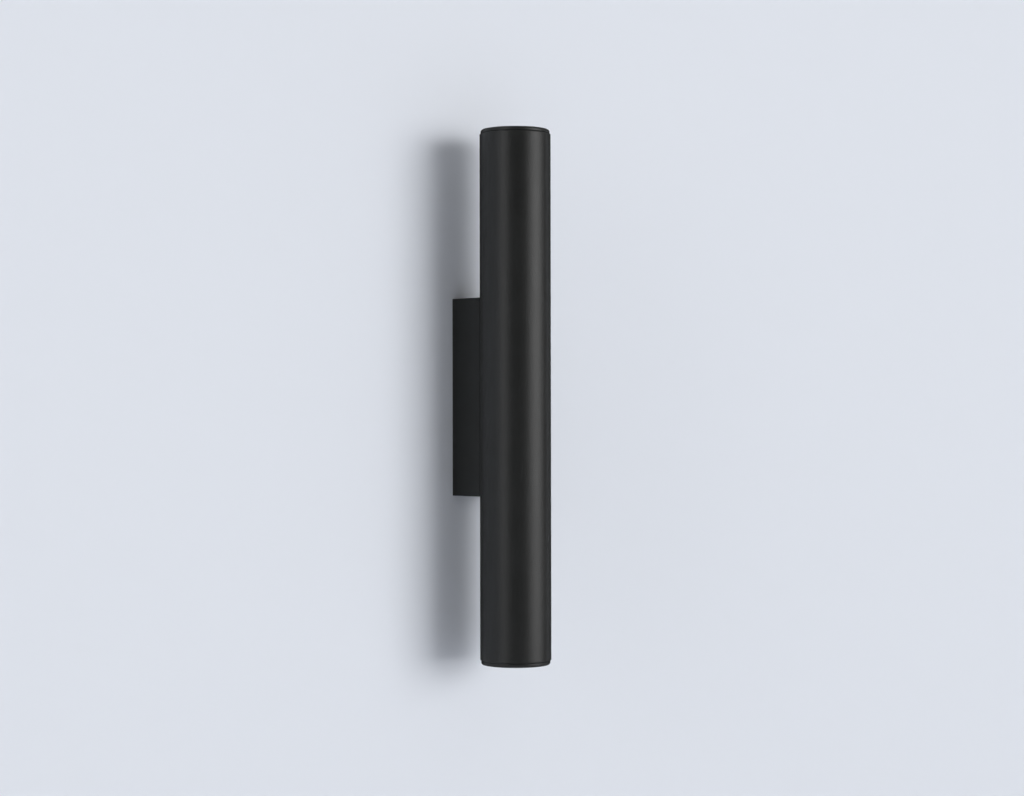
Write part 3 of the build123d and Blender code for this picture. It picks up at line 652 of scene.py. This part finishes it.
# an insulated wire along a route with rounded bends, and twisted bare strands at its two ends
def makeWireTree(look):
    sizes = {
        "Wire Radius": "Float",
        "Strand Radius": "Float",
        "Bare Start": "Float",
        "Bare End": "Float",
        "Twist": "Float",
        "Around": "Int",
        "Bend Steps": "Int",
        "Insulation": "Material",
        "Copper": "Material",
    }
    graph, given = startTree("layWire", sizes)
    line = graph.add("GeometryNodeMeshToCurve", sockets={"Mesh": given["Geometry"]})
    rounding = {"Curve": line, "Count": given["Bend Steps"], "Radius": graph.named("bend", "FLOAT")}
    route = graph.add("GeometryNodeFilletCurve", {"mode": "POLY"}, rounding)
    length = graph.add("GeometryNodeCurveLength", sockets={"Curve": route})

    # the insulation keeps how far round it each point is, for a stripe
    cover = {"Curve": route, 4: given["Bare Start"], 5: length - given["Bare End"]}
    covered = graph.add("GeometryNodeTrimCurve", {"mode": "LENGTH"}, cover)
    outline = {"Resolution": given["Around"], "Radius": given["Wire Radius"]}
    circle = graph.add("GeometryNodeCurvePrimitiveCircle", sockets=outline)
    angle = graph.add("GeometryNodeInputIndex") / given["Around"] * (2 * math.pi)
    named = {"Geometry": circle, "Name": "stripe", "Value": graph.maths("COSINE", angle)}
    marked = graph.add("GeometryNodeStoreNamedAttribute", {"data_type": "FLOAT", "domain": "POINT"}, named)
    tubeSockets = {"Curve": covered, "Profile Curve": marked, "Fill Caps": True}
    insulation = graph.add("GeometryNodeCurveToMesh", sockets=tubeSockets)

    lobed = {"Resolution": look["points"], "Radius": given["Strand Radius"]}
    bundle = graph.add("GeometryNodeCurvePrimitiveCircle", sockets=lobed)
    halfWaves = graph.add("GeometryNodeInputIndex") * (look["lobes"] * math.pi / look["points"])
    lobe = graph.maths("ABSOLUTE", graph.maths("COSINE", halfWaves))
    drawnX, drawnY, _ = graph.split(graph.add("GeometryNodeInputPosition"))
    pinch = look["valley"] + lobe * (1 - look["valley"])
    strandRound = graph.moved(bundle, drawnX * pinch, drawnY * pinch)
    firstEnd = {"Curve": route, 4: 0.0, 5: given["Bare Start"] + look["underCover"]}
    lastEnd = {"Curve": route, 4: length - given["Bare End"] - look["underCover"], 5: length}
    bares = []
    for sockets in (firstEnd, lastEnd):
        bare = graph.add("GeometryNodeTrimCurve", {"mode": "LENGTH"}, sockets)
        fine = graph.add("GeometryNodeResampleCurve", sockets={"Curve": bare, "Count": look["steps"]})
        along = graph.add("GeometryNodeSplineParameter", output="Length")
        twist = {"Curve": fine, "Tilt": along * given["Twist"]}
        tilted = graph.add("GeometryNodeSetCurveTilt", sockets=twist)
        strandSockets = {"Curve": tilted, "Profile Curve": strandRound, "Fill Caps": True}
        bares.append(graph.add("GeometryNodeCurveToMesh", sockets=strandSockets))
    strands = graph.add("GeometryNodeJoinGeometry", sockets={"Geometry": bares})
    flag = {"Geometry": strands, "Name": "bare", "Value": True}
    flagged = graph.add("GeometryNodeStoreNamedAttribute", {"data_type": "BOOLEAN", "domain": "FACE"}, flag)
    both = graph.add("GeometryNodeJoinGeometry", sockets={"Geometry": [insulation, flagged]})
    solid = graph.add("GeometryNodeRealizeInstances", sockets={"Geometry": both})
    plastic = {"Geometry": solid, "Material": given["Insulation"]}
    coloured = graph.add("GeometryNodeSetMaterial", sockets=plastic)
    metal = {"Geometry": coloured, "Selection": graph.named("bare", "BOOLEAN"), "Material": given["Copper"]}
    painted = graph.add("GeometryNodeSetMaterial", sockets=metal)
    graph.add("NodeGroupOutput", sockets={"Geometry": painted})
    return graph.tree


turnProfile = makeTurningTree()
copyPiece = makeCopyTree()
layWire = makeWireTree(strandLook)


# runs a tree on a start mesh and keeps the result as the piece's own plain mesh
def grow(name, start, tree, inputs):
    piece = addObject(name, start)
    modifier = piece.modifiers.new(tree.name, "NODES")
    modifier.node_group = tree
    for item in tree.interface.items_tree:
        if item.name in inputs:
            modifier[item.identifier] = inputs[item.name]
    keepResult(piece)
    return piece


def keepResult(piece):
    depsgraph = bpy.context.evaluated_depsgraph_get()
    result = bpy.data.meshes.new_from_object(
        piece.evaluated_get(depsgraph), preserve_all_data_layers=True, depsgraph=depsgraph
    )
    piece.modifiers.clear()
    piece.data = result
    result.name = piece.name


# joins what touches, turns the faces outwards and keeps edges past the crease angle sharp
def tidy(piece, crease=30.0):
    shape = bmesh.new()
    shape.from_mesh(piece.data)
    bmesh.ops.remove_doubles(shape, verts=shape.verts, dist=0.0000005)
    bmesh.ops.recalc_face_normals(shape, faces=shape.faces)
    shape.to_mesh(piece.data)
    shape.free()
    piece.data.shade_smooth()
    piece.data.set_sharp_from_angle(angle=math.radians(crease))
    return piece


# points are (radius, height) or (radius, height, thread depth), in millimetres
def drawProfile(name, points):
    mesh = bpy.data.meshes.new(name)
    edges = [(first, first + 1) for first in range(len(points) - 1)]
    if points[0][0] > 0 or points[-1][0] > 0:
        edges.append((len(points) - 1, 0))
    mesh.from_pydata([(point[0] * mm, point[1] * mm, 0) for point in points], edges, [])
    depths = mesh.attributes.new("threadDepth", "FLOAT", "POINT")
    depths.data.foreach_set("value", [point[2] * mm if len(point) > 2 else 0.0 for point in points])
    return mesh


# an arc of a profile between two angles in degrees
def roundEdge(centreRadius, centreHeight, radius, start, end, steps=7):
    points = []
    for step in range(steps + 1):
        angle = math.radians(start + (end - start) * step / steps)
        points.append((centreRadius + radius * math.cos(angle), centreHeight + radius * math.sin(angle)))
    return points


# rows of a thread from low to high, which runs in and out over half a turn
def threadRows(radius, low, high, pitch, depth, steps=10):
    rows = []
    count = round((high - low) / pitch * steps)
    for row in range(count + 1):
        height = low + (high - low) * row / count
        fade = min(1.0, 2 * (height - low) / pitch, 2 * (high - height) / pitch)
        rows.append((radius, height, depth * fade))
    return rows


def turned(name, points, material, segments=96, pitch=1.0, crease=30.0):
    widest = max(point[0] for point in points) * mm
    sizes = {"Segments": segments, "Path Radius": widest, "Pitch": pitch * mm}
    sizes["Material"] = finishes[material]
    return tidy(grow(name, drawProfile(name + "Profile", points), turnProfile, sizes), crease)


# where a turned shape goes: on the tube's axis, or with its top facing the wall
onAxis = Matrix.Translation((0, axisY, 0))
toWall = Matrix.Rotation(math.radians(-90), 4, "X")
turnedOver = Matrix.Rotation(math.pi, 4, "Y")
ends = {"top": Matrix.Identity(4), "bottom": turnedOver}


def placed(piece, matrix):
    piece.data.transform(matrix)
    return piece


def boolean(piece, others, operation="DIFFERENCE"):
    for other in others:
        modifier = piece.modifiers.new(operation.title(), "BOOLEAN")
        modifier.operation = operation
        modifier.solver = "EXACT"
        modifier.object = other
    bpy.context.view_layer.update()
    keepResult(piece)
    for other in others:
        bpy.data.objects.remove(other)
    return tidy(piece)


def prism(name, outline, low, high, taper=1.0):
    shape = bmesh.new()
    top = [shape.verts.new((x * mm, y * mm, high * mm)) for x, y in outline]
    foot = [shape.verts.new((x * taper * mm, y * taper * mm, low * mm)) for x, y in outline]
    shape.faces.new(top)
    shape.faces.new(foot[::-1])
    for index in range(len(outline)):
        after = (index + 1) % len(outline)
        shape.faces.new((top[index], foot[index], foot[after], top[after]))
    bmesh.ops.recalc_face_normals(shape, faces=shape.faces)
    mesh = bpy.data.meshes.new(name)
    shape.to_mesh(mesh)
    shape.free()
    return addObject(name, mesh)


def circlePoints(radius, count, start=0.0):
    angles = [start + 2 * math.pi * number / count for number in range(count)]
    return [(radius * math.cos(angle), radius * math.sin(angle)) for angle in angles]


# hangs a finished piece on the body of the node it stands in for, and hides that node
def settle(piece, node):
    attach(piece, nodes[node]["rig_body"])
    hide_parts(node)


print("node trees made")

# millimetres, with heights from the tube's middle
tubeShape = {
    "radius": 29.955,  # just inside the CAD tube's facets
    "bore": 28.0,
    "end": 221.45,
    "edgeRound": 0.8,
    "innerBreak": 0.2,
    "threads": (204.5, 212.0),
    "pitch": 1.5,
    "threadDepth": 0.5,
    "segments": 224,
    "sideHoles": ((-50.0, 2.15), (50.0, 2.15), (0.0, 6.05)),  # height and radius, facing the wall
    "drill": (8, 40),  # from and to, behind the tube's axis
    "drillSides": 48,
    "heldRows": (2, 14),  # below the end, so that the edges' shading stays short
    "bands": (62, 38, 12),  # rows beside the side holes, which keep their shading to themselves
}


def makeTube(shape):
    radius, bore, end = shape["radius"], shape["bore"], shape["end"]
    edge, lip = shape["edgeRound"], shape["innerBreak"]
    near, far = shape["heldRows"]
    upper = [(radius, end - far), (radius, end - near)]
    upper += roundEdge(radius - edge, end - edge, edge, 0, 90)
    upper += [(radius - edge - 0.2, end), (bore + lip, end), (bore, end - lip)]
    rows = threadRows(bore, *shape["threads"], shape["pitch"], shape["threadDepth"])
    inner = [(bore, end - near)] + rows[::-1] + [(bore, shape["threads"][0] - near)]
    bands = shape["bands"] + tuple(-height for height in shape["bands"][::-1])
    lower = [(point[0], -point[1], *point[2:]) for point in upper + inner][::-1]
    outside = [(radius, height) for height in bands[::-1]]
    points = upper + inner + [(bore, height) for height in bands] + lower + outside
    tube = turned("tubeBody", points, "blackPowderCoat", shape["segments"], shape["pitch"])
    cutters = []
    for height, size in shape["sideHoles"]:
        drill = prism("drill", circlePoints(size, shape["drillSides"]), *shape["drill"])
        drill.data.transform(Matrix.Translation((0, axisY, height * mm)) @ toWall)
        cutters.append(drill)
    placed(tube, onAxis)
    boolean(tube, cutters)
    settle(tube, "tube")


makeTube(tubeShape)
print("tube made")


# the end ring screws into the tube, with a grooved mouth that keeps glare down
ringShape = {
    "radius": 29.1,
    "top": 225.0,
    "flangeFoot": 221.7,
    "edgeRound": 1.8,
    "lowerRound": 0.3,
    "mouth": 23.0,
    "mouthBreak": 0.6,
    "spigot": 27.95,
    "sealGroove": (26.9, 218.35, 219.65),
    "threads": (204.5, 212.0),
    "pitch": 1.5,
    "threadDepth": 0.5,
    "foot": 203.0,
    "glassBore": 25.1,
    "glassSeat": 215.0,
    "clipGroove": (25.95, 209.70, 210.90),
    "baffles": (216.6, 219.0, 221.4),
    "baffleDepth": 0.7,
    "baffleStep": 0.6,
    "segments": 224,
}


def makeRingProfile(shape):
    radius, top, foot = shape["radius"], shape["top"], shape["flangeFoot"]
    edge, lower = shape["edgeRound"], shape["lowerRound"]
    mouth, chamfer = shape["mouth"], shape["mouthBreak"]
    spigot, bore = shape["spigot"], shape["glassBore"]
    points = [(mouth, shape["glassSeat"])]
    deep, step = mouth + shape["baffleDepth"], shape["baffleStep"]
    for low in shape["baffles"]:
        points += [(mouth, low), (deep, low + step), (deep, low + 2 * step), (mouth, low + 3 * step)]
    points += [(mouth, top - chamfer), (mouth + chamfer, top), (radius - edge - 0.25, top)]
    points += roundEdge(radius - edge, top - edge, edge, 90, 0, 12)
    points += [(radius, top - edge - 0.25), (radius, foot + lower + 0.2)]
    points += roundEdge(radius - lower, foot + lower, lower, 0, -90, 4)
    grooveRadius, grooveLow, grooveHigh = shape["sealGroove"]
    points += [(spigot, foot), (spigot, grooveHigh), (grooveRadius, grooveHigh)]
    points += [(grooveRadius, grooveLow), (spigot, grooveLow), (spigot, grooveLow - 1)]
    points += threadRows(spigot, *shape["threads"], shape["pitch"], -shape["threadDepth"])[::-1]
    points += [(spigot, shape["foot"] + 0.5), (spigot - 0.5, shape["foot"]), (bore, shape["foot"])]
    clipRadius, clipLow, clipHigh = shape["clipGroove"]
    points += [(bore, clipLow), (clipRadius, clipLow), (clipRadius, clipHigh), (bore, clipHigh)]
    return points + [(bore, shape["glassSeat"])]


sealShape = {"radius": 27.42, "section": 0.5, "height": 219.0, "segments": 144}
glassShape = {"radius": 25.0, "low": 211.0, "high": 214.0, "edges": (0.3, 0.3), "segments": 144}


# half the outline of a disc whose two rims are broken, from the axis round to the axis
def discProfile(radius, low, high, lowEdge, highEdge):
    points = [(0, low), (radius - lowEdge, low), (radius, low + lowEdge)]
    return points + [(radius, high - highEdge), (radius - highEdge, high), (0, high)]


def makeEndPieces():
    for end, over in ends.items():
        move = over @ onAxis
        profile = makeRingProfile(ringShape)
        fineness = ringShape["segments"], ringShape["pitch"]
        ring = turned(end + "EndRing", profile, "blackPowderCoat", *fineness)
        settle(placed(ring, move), end + "_ring")
        section = circlePoints(sealShape["section"], 18)
        outline = [(sealShape["radius"] + x, sealShape["height"] + y) for x, y in section]
        seal = turned(end + "Seal", outline, "blackRubber", sealShape["segments"])
        settle(placed(seal, move), end + "_o_ring")
        disc = discProfile(glassShape["radius"], glassShape["low"], glassShape["high"], *glassShape["edges"])
        glass = turned(end + "Glass", disc, "clearGlass", glassShape["segments"])
        settle(placed(glass, move), end + "_glass")


makeEndPieces()
print("end rings, seals and glasses made")


# the lamp's face: seven chips on a white board, and a clear moulding with a collimator over each
lampShape = {
    "circle": 11.0,
    "around": 6,
    "boardRadius": 20.8,
    "boardLow": 185.0,
    "boardHigh": 186.6,
    "chipHalf": 1.75,
    "chipCorner": 0.35,
    "chipSunk": 0.05,
    "chipHigh": 187.4,
    "phosphorRadius": 1.35,
    "bead": ((0, -0.1), (1, -0.1), (1, 0.02), (0.72, 0.12), (0.4, 0.17), (0, 0.19)),
    "lensRadius": 23.5,
    "lensLow": 197.8,
    "lensHigh": 200.6,
    "collimatorLow": 188.2,
    "collimatorFoot": 2.6,
    "collimatorTop": 4.9,
    "collimatorHollow": ((0, 2.4), (0.9, 2.2), (1.5, 1.6), (1.8, 0)),
    "dome": 0.55,
    "domeFoot": 0.3,
    "domeSteps": (0.3, 0.6, 0.9, 1.2),
}


def chipPlaces(shape):
    return [(0.0, 0.0)] + circlePoints(shape["circle"], shape["around"])


# a mesh of bare points, each with the angles that a copy on it takes
def scatter(name, places, turns=None):
    mesh = bpy.data.meshes.new(name)
    mesh.from_pydata([(x * mm, y * mm, z * mm) for x, y, z in places], [], [])
    angles = mesh.attributes.new("turn", "FLOAT_VECTOR", "POINT")
    flat = [math.radians(angle) for turn in (turns or [(0, 0, 0)] * len(places)) for angle in turn]
    angles.data.foreach_set("vector", flat)
    return mesh


def copies(name, piece, mesh, material, recess=None):
    sizes = {"Piece": piece, "Recess": recess or piece, "Has Recess": recess is not None}
    sizes["Material"] = finishes[material]
    grown = tidy(grow(name, mesh, copyPiece, sizes))
    for used in (piece, recess):
        if used is not None:
            bpy.data.objects.remove(used)
    return grown


def makeChip(shape):
    half, corner = shape["chipHalf"], shape["chipCorner"]
    outline = []
    for x, y in ((1, 1), (-1, 1), (-1, -1), (1, -1)):
        cut = [(x * (half - corner), y * half), (x * half, y * (half - corner))]
        outline += cut[::-1] if x * y > 0 else cut
    return prism("chip", outline, shape["boardHigh"] - shape["chipSunk"], shape["chipHigh"])


def makeLampFace(shape):
    for end, over in ends.items():
        move = over @ onAxis
        places = [(x, y, 0) for x, y in chipPlaces(shape)]
        disc = discProfile(shape["boardRadius"], shape["boardLow"], shape["boardHigh"], 0.1, 0.1)
        board = turned(end + "LedBoard", disc, "whiteLacquer", 96)
        settle(placed(board, move), end + "_lamp_led_board")
        frames = copies(end + "LedFrames", makeChip(shape), scatter("frames", places), "whitePlastic")
        settle(placed(frames, move), end + "_lamp_led_board")
        bead = [(x * shape["phosphorRadius"], shape["chipHigh"] + y) for x, y in shape["bead"]]
        dot = turned("phosphorDot", bead, "phosphor", 28)
        dots = copies(end + "Phosphors", dot, scatter("phosphors", places), "phosphor")
        settle(placed(dots, move), end + "_lamp_led_board")
        disc = discProfile(shape["lensRadius"], shape["lensLow"], shape["lensHigh"], 0.2, 0.3)
        lens = turned(end + "Lens", disc, "clearLens", 144)
        cone = turned("collimator", makeCollimator(shape), "clearLens", 48)
        cones = copies("collimators", cone, scatter("lensPlaces", places), "clearLens")
        boolean(lens, [cones], "UNION")
        settle(placed(lens, move), end + "_lamp_lens")


# a cone with a hollow foot over the chip and a shallow dome that stands out of the disc's face
def makeCollimator(shape):
    low, foot, wide = shape["collimatorLow"], shape["collimatorFoot"], shape["collimatorTop"]
    under, dome = shape["lensHigh"] - shape["domeFoot"], shape["dome"] + shape["domeFoot"]
    points = [(radius, low + height) for radius, height in shape["collimatorHollow"]]
    points += [(foot, low), (wide, shape["lensLow"] + 0.5), (wide, under)]
    points += [(wide * math.cos(turn), under + dome * math.sin(turn)) for turn in shape["domeSteps"]]
    return points + [(0, under + dome)]


makeLampFace(lampShape)
print("lamp faces made")


# every screw, with where its copies' heads are seated, which way they face and how far they are turned
screws = {
    "jointScrews": {
        "node": "joint_screws",
        "shank": (2.0, 14.0),  # radius and length
        "thread": (0.7, 0.34),  # pitch and depth
        "head": (3.9, 2.6),  # radius and height
        "recess": "cross",
        "seats": ((0, -22, 50), (0, -22, -50)),
        "up": "wall",
        "spins": (17, -31),
    },
    "blockScrews": {
        "node": "terminal_fixing_screws",
        "shank": (1.25, 8.0),
        "thread": (0.8, 0.24),
        "head": (2.3, 1.8),
        "recess": "cross",
        "seats": ((-14.7, -19, -30), (14.7, -19, -30)),
        "up": "wall",
        "spins": (38, 8),
    },
    "earthScrew": {
        "node": "earth_screw",
        "shank": (1.98, 4.2),
        "thread": (0.7, 0.34),
        "head": (3.8, 2.6),
        "recess": "cross",
        "seats": ((9, -21.2, 22),),
        "up": "wall",
        "spins": (23,),
    },
    "clampScrews": {
        "node": "terminal_screws",
        "shank": (1.48, 6.5),
        "thread": (0.5, 0.25),
        "head": None,
        "recess": "slot",
        "seats": (
            (-8, -9.05, -26),
            (0, -9.05, -26),
            (8, -9.05, -26),
            (-8, -7.9, -34),
            (0, -7.9, -34),
            (8, -7.9, -34),
        ),
        "up": "wall",
        "spins": (12, -40, 65, 3, 84, -22),
    },
}
for end, side, spins in (("top", 1, (11, 52)), ("bottom", -1, (70, 29))):
    screws[end + "HolderScrews"] = {
        "node": end + "_holder_screws",
        "shank": (1.5, 20.0),
        "thread": (0.5, 0.26),
        "head": (2.8, 2.2),
        "recess": "cross",
        "seats": ((-12.5, -56, side * 145.5), (12.5, -56, side * 145.5)),
        "up": end,
        "spins": spins,
    }
for name, end, side, spin in (("upper", "top", 1, 14), ("lower", "bottom", -1, 41)):
    screws[name + "LockScrew"] = {
        "node": name + "_lock_screw",
        "shank": (2.0, 5.0),
        "thread": (0.7, 0.34),
        "head": None,
        "recess": "hex",
        "seats": ((0, -9, side * 83.7),),
        "up": end,
        "spins": (spin,),
    }

screwTilts = {"wall": -90, "top": 0, "bottom": 180}  # degrees about X that face the head
screwFinishes = {"cross": "zincPlate", "slot": "zincPlate", "hex": "blackedSteel"}

# millimetres, or shares of the head's radius and height
screwForm = {
    "tipBreak": 0.1,
    "grubBreak": 0.25,
    "underHead": 0.4,
    "headEdge": 0.15,
    "domeFrom": 0.45,
    "domeTurns": (18, 36, 54, 72),
    "cutAbove": 0.01,
    "slotReach": 1.2,
    "slotHalf": 0.25,
    "slotDeep": 0.8,
    "hexHalf": 1.0,
    "hexDeep": 2.2,
    "crossArm": 0.6,
    "crossHalf": 0.11,
    "crossCorner": 1.3,
    "crossFloor": 0.4,
    "crossTaper": 0.6,
}


# the seat of the head is at height nought, and the shank runs down from it
def makeScrewProfile(look, form):
    radius, length = look["shank"]
    pitch, depth = look["thread"]
    gap, grub = form["tipBreak"], look["head"] is None
    points = [(0, -length), (radius - depth - gap, -length)]
    highest = -form["grubBreak"] if grub else -form["underHead"]
    turns = math.floor((length + highest - gap) / pitch)
    points += threadRows(radius, highest - turns * pitch, highest, pitch, -depth, 6)
    if grub:
        return points + [(radius - form["grubBreak"], 0), (0, 0)]
    wide, tall = look["head"]
    edge, core = form["headEdge"], form["domeFrom"]
    points += [(radius, 0), (wide - edge, 0), (wide, edge), (wide, tall * core)]
    for angle in form["domeTurns"]:
        across = core + (1 - core) * math.cos(math.radians(angle))
        up = core + (1 - core) * math.sin(math.radians(angle))
        points.append((wide * across, tall * up))
    return points + [(wide * core, tall), (0, tall)]


def makeRecess(look, form):
    above = form["cutAbove"]
    if look["recess"] == "slot":
        reach, half = look["shank"][0] * form["slotReach"], form["slotHalf"]
        outline = [(-reach, -half), (reach, -half), (reach, half), (-reach, half)]
        return prism("slotCut", outline, -form["slotDeep"], above)
    if look["recess"] == "hex":
        corners = circlePoints(form["hexHalf"] / math.cos(math.pi / 6), 6)
        return prism("hexCut", corners, -form["hexDeep"], above)
    wide, tall = look["head"]
    arm, half = wide * form["crossArm"], wide * form["crossHalf"]
    corner = half * form["crossCorner"]
    outline = []
    for turn in range(4):
        angle = math.pi / 2 * turn
        cosine, sine = math.cos(angle), math.sin(angle)
        for x, y in ((arm, -half), (arm, half), (corner, corner)):
            outline.append((x * cosine - y * sine, x * sine + y * cosine))
    return prism("crossCut", outline, tall * form["crossFloor"], tall + above, form["crossTaper"])


def makeScrews(kinds, form):
    for name, look in kinds.items():
        finish = screwFinishes[look["recess"]]
        blank = turned(name + "Blank", makeScrewProfile(look, form), finish, 36, look["thread"][0])
        tilted = Matrix.Rotation(math.radians(screwTilts[look["up"]]), 3, "X")
        turns = []
        for spin in look["spins"]:
            facing = tilted @ Matrix.Rotation(math.radians(spin), 3, "Z")
            turns.append([math.degrees(angle) for angle in facing.to_euler("XYZ")])
        places = scatter(name + "Places", look["seats"], turns)
        settle(copies(name, blank, places, finish, makeRecess(look, form)), look["node"])


makeScrews(screws, screwForm)
print("screws made")


# rubber that lines the two holes for wires, as radii and heights, which fall away from the wall
lipTurns = (0.4, 0.8, 1.2, 1.57)
rubbers = {
    "cableGrommet": {
        "node": "cable_grommet",
        "lip": [(5.5 - 0.5 * math.cos(turn), -2.2 - 0.5 * math.sin(turn)) for turn in lipTurns],
        "inner": [(9.7, -0.3), (5.4, -0.3), (5.0, -0.7), (5.0, -2.2)],
        "outer": [(11.4, -2.7), (11.75, -2.6), (12.0, -2.3), (12.0, -1.5), (10.0, -1.5), (10.0, -0.6)],
    },
    "wireBushing": {
        "node": "wire_bushing",
        "lip": [(4.3, -20.6), (6.6, -20.6), (6.9, -20.75), (7.0, -21.0), (7.0, -22.0)],
        "inner": [(6.3, -32.47), (6.0, -32.77), (4.3, -32.77), (4.0, -32.5), (4.0, -20.9)],
        "outer": [(6.0, -22.0), (6.0, -31.47), (6.6, -31.47), (6.6, -32.1)],
    },
}

for name, look in rubbers.items():
    sleeve = turned(name, look["lip"] + look["outer"] + look["inner"], "blackRubber", 72)
    settle(placed(sleeve, toWall), look["node"])
print("grommet and bushing made")


# routes in millimetres, with the rounding of each inner corner
wiring = {
    "radius": 0.9,
    "strands": 0.45,
    "around": 20,
    "bendSteps": 9,
    "twist": 900.0,  # radians in a metre of bare strands
    "pole": (8.0, 0.95),  # each with what the upper lamp's wires add and the lower's take away
    "rise": (-13.0, 2.0),
    "dip": (-12.8, 1.2),
    "bundle": 1.3,
    "boreY": -16.0,
    "blockTop": -21.8,
    "front": -37.867,
    "climb": (18, 104, 120),
    "holderX": 5.0,
    "holderZ": 133.6,
    "lampBends": (0, 4.0, 5.0, 5.0, 12.0, 12.0, 6.0, 0),
    "lampBare": (6.5, 5.5),
    "earthRoute": (
        (0, -16.0, -21.8),
        (0, -16.0, -16.5),
        (6, -9.5, -10),
        (11.5, -10, 0),
        (9, -20.4, 4),
        (9, -20.4, 10.7),
    ),
    "earthBends": (0, 3.0, 4.0, 4.0, 3.0, 0),
    "earthBare": (6.5, 4.8),
}


def lampRoute(look, side, up):
    pole, rise, dip = (look[part][0] + look[part][1] * up for part in ("pole", "rise", "dip"))
    poleX, bundleX, holderX = side * pole, side * look["bundle"], side * look["holderX"]
    start, front, bundleZ = look["boreY"], look["front"], up * look["bundle"]
    low, high, last = (up * height for height in look["climb"])
    return (
        (poleX, start, look["blockTop"]),
        (poleX, start, rise),
        (bundleX, dip, bundleZ),
        (bundleX, front, bundleZ),
        (holderX, front, low),
        (holderX, front, high),
        (holderX, axisY / mm, last),
        (holderX, axisY / mm, up * look["holderZ"]),
    )


def makeWire(name, node, route, bends, bare, insulation):
    points = [Vector(point) * mm for point in route]
    first = (points[1] - points[0]).normalized()
    last = (points[-1] - points[-2]).normalized()
    points[0] = points[0] - first * bare[0] * mm
    points[-1] = points[-1] + last * bare[1] * mm
    mesh = bpy.data.meshes.new(name + "Route")
    mesh.from_pydata(points, [(index, index + 1) for index in range(len(points) - 1)], [])
    mesh.attributes.new("bend", "FLOAT", "POINT").data.foreach_set("value", [bend * mm for bend in bends])
    sizes = {
        "Wire Radius": wiring["radius"] * mm,
        "Strand Radius": wiring["strands"] * mm,
        "Bare Start": bare[0] * mm,
        "Bare End": bare[1] * mm,
        "Twist": wiring["twist"],
        "Around": wiring["around"],
        "Bend Steps": wiring["bendSteps"],
        "Insulation": finishes[insulation],
        "Copper": finishes["copperAlloy"],
    }
    settle(tidy(grow(name, mesh, layWire, sizes), 50.0), node)


def makeWires(look):
    for end, up in (("top", 1), ("bottom", -1)):
        for pole, side, insulation in (("Live", -1, "brownInsulation"), ("Neutral", 1, "blueInsulation")):
            node = end + "_" + pole.lower() + "_wire"
            route = lampRoute(look, side, up)
            makeWire(end + pole + "Wire", node, route, look["lampBends"], look["lampBare"], insulation)
    route, bends, bare = look["earthRoute"], look["earthBends"], look["earthBare"]
    makeWire("earthWire", "earth_wire", route, bends, bare, "stripedInsulation")


makeWires(wiring)
print("wires made")


# CAD parts whose shape is already right take a finish alone
plainParts = {
    "back_box": "blackPowderCoat",
    "wall_plate": "zincPlate",
    "chassis": "zincPlate",
    "chassis_nuts": "zincPlate",
    "ring_terminal": "zincPlate",
    "terminal_block": "whitePlastic",
    "terminal_clamps": "castBrass",
}
endParts = {
    "lampholder": "glazedCeramic",
    "holder_contacts": "copperAlloy",
    "holder_nuts": "zincPlate",
    "glass_gasket": "greySilicone",
    "glass_clip": "springSteel",
    "lamp_shell": "lampAluminium",
    "lamp_base": "whitePlastic",
    "lamp_pins": "castBrass",
}
plainParts.update({end + "_" + part: finish for end in ends for part, finish in endParts.items()})
for part, finish in plainParts.items():
    for materialSlot in nodes[part].material_slots:
        materialSlot.material = finishes[finish]
print("finishes given to", len(plainParts), "CAD parts")
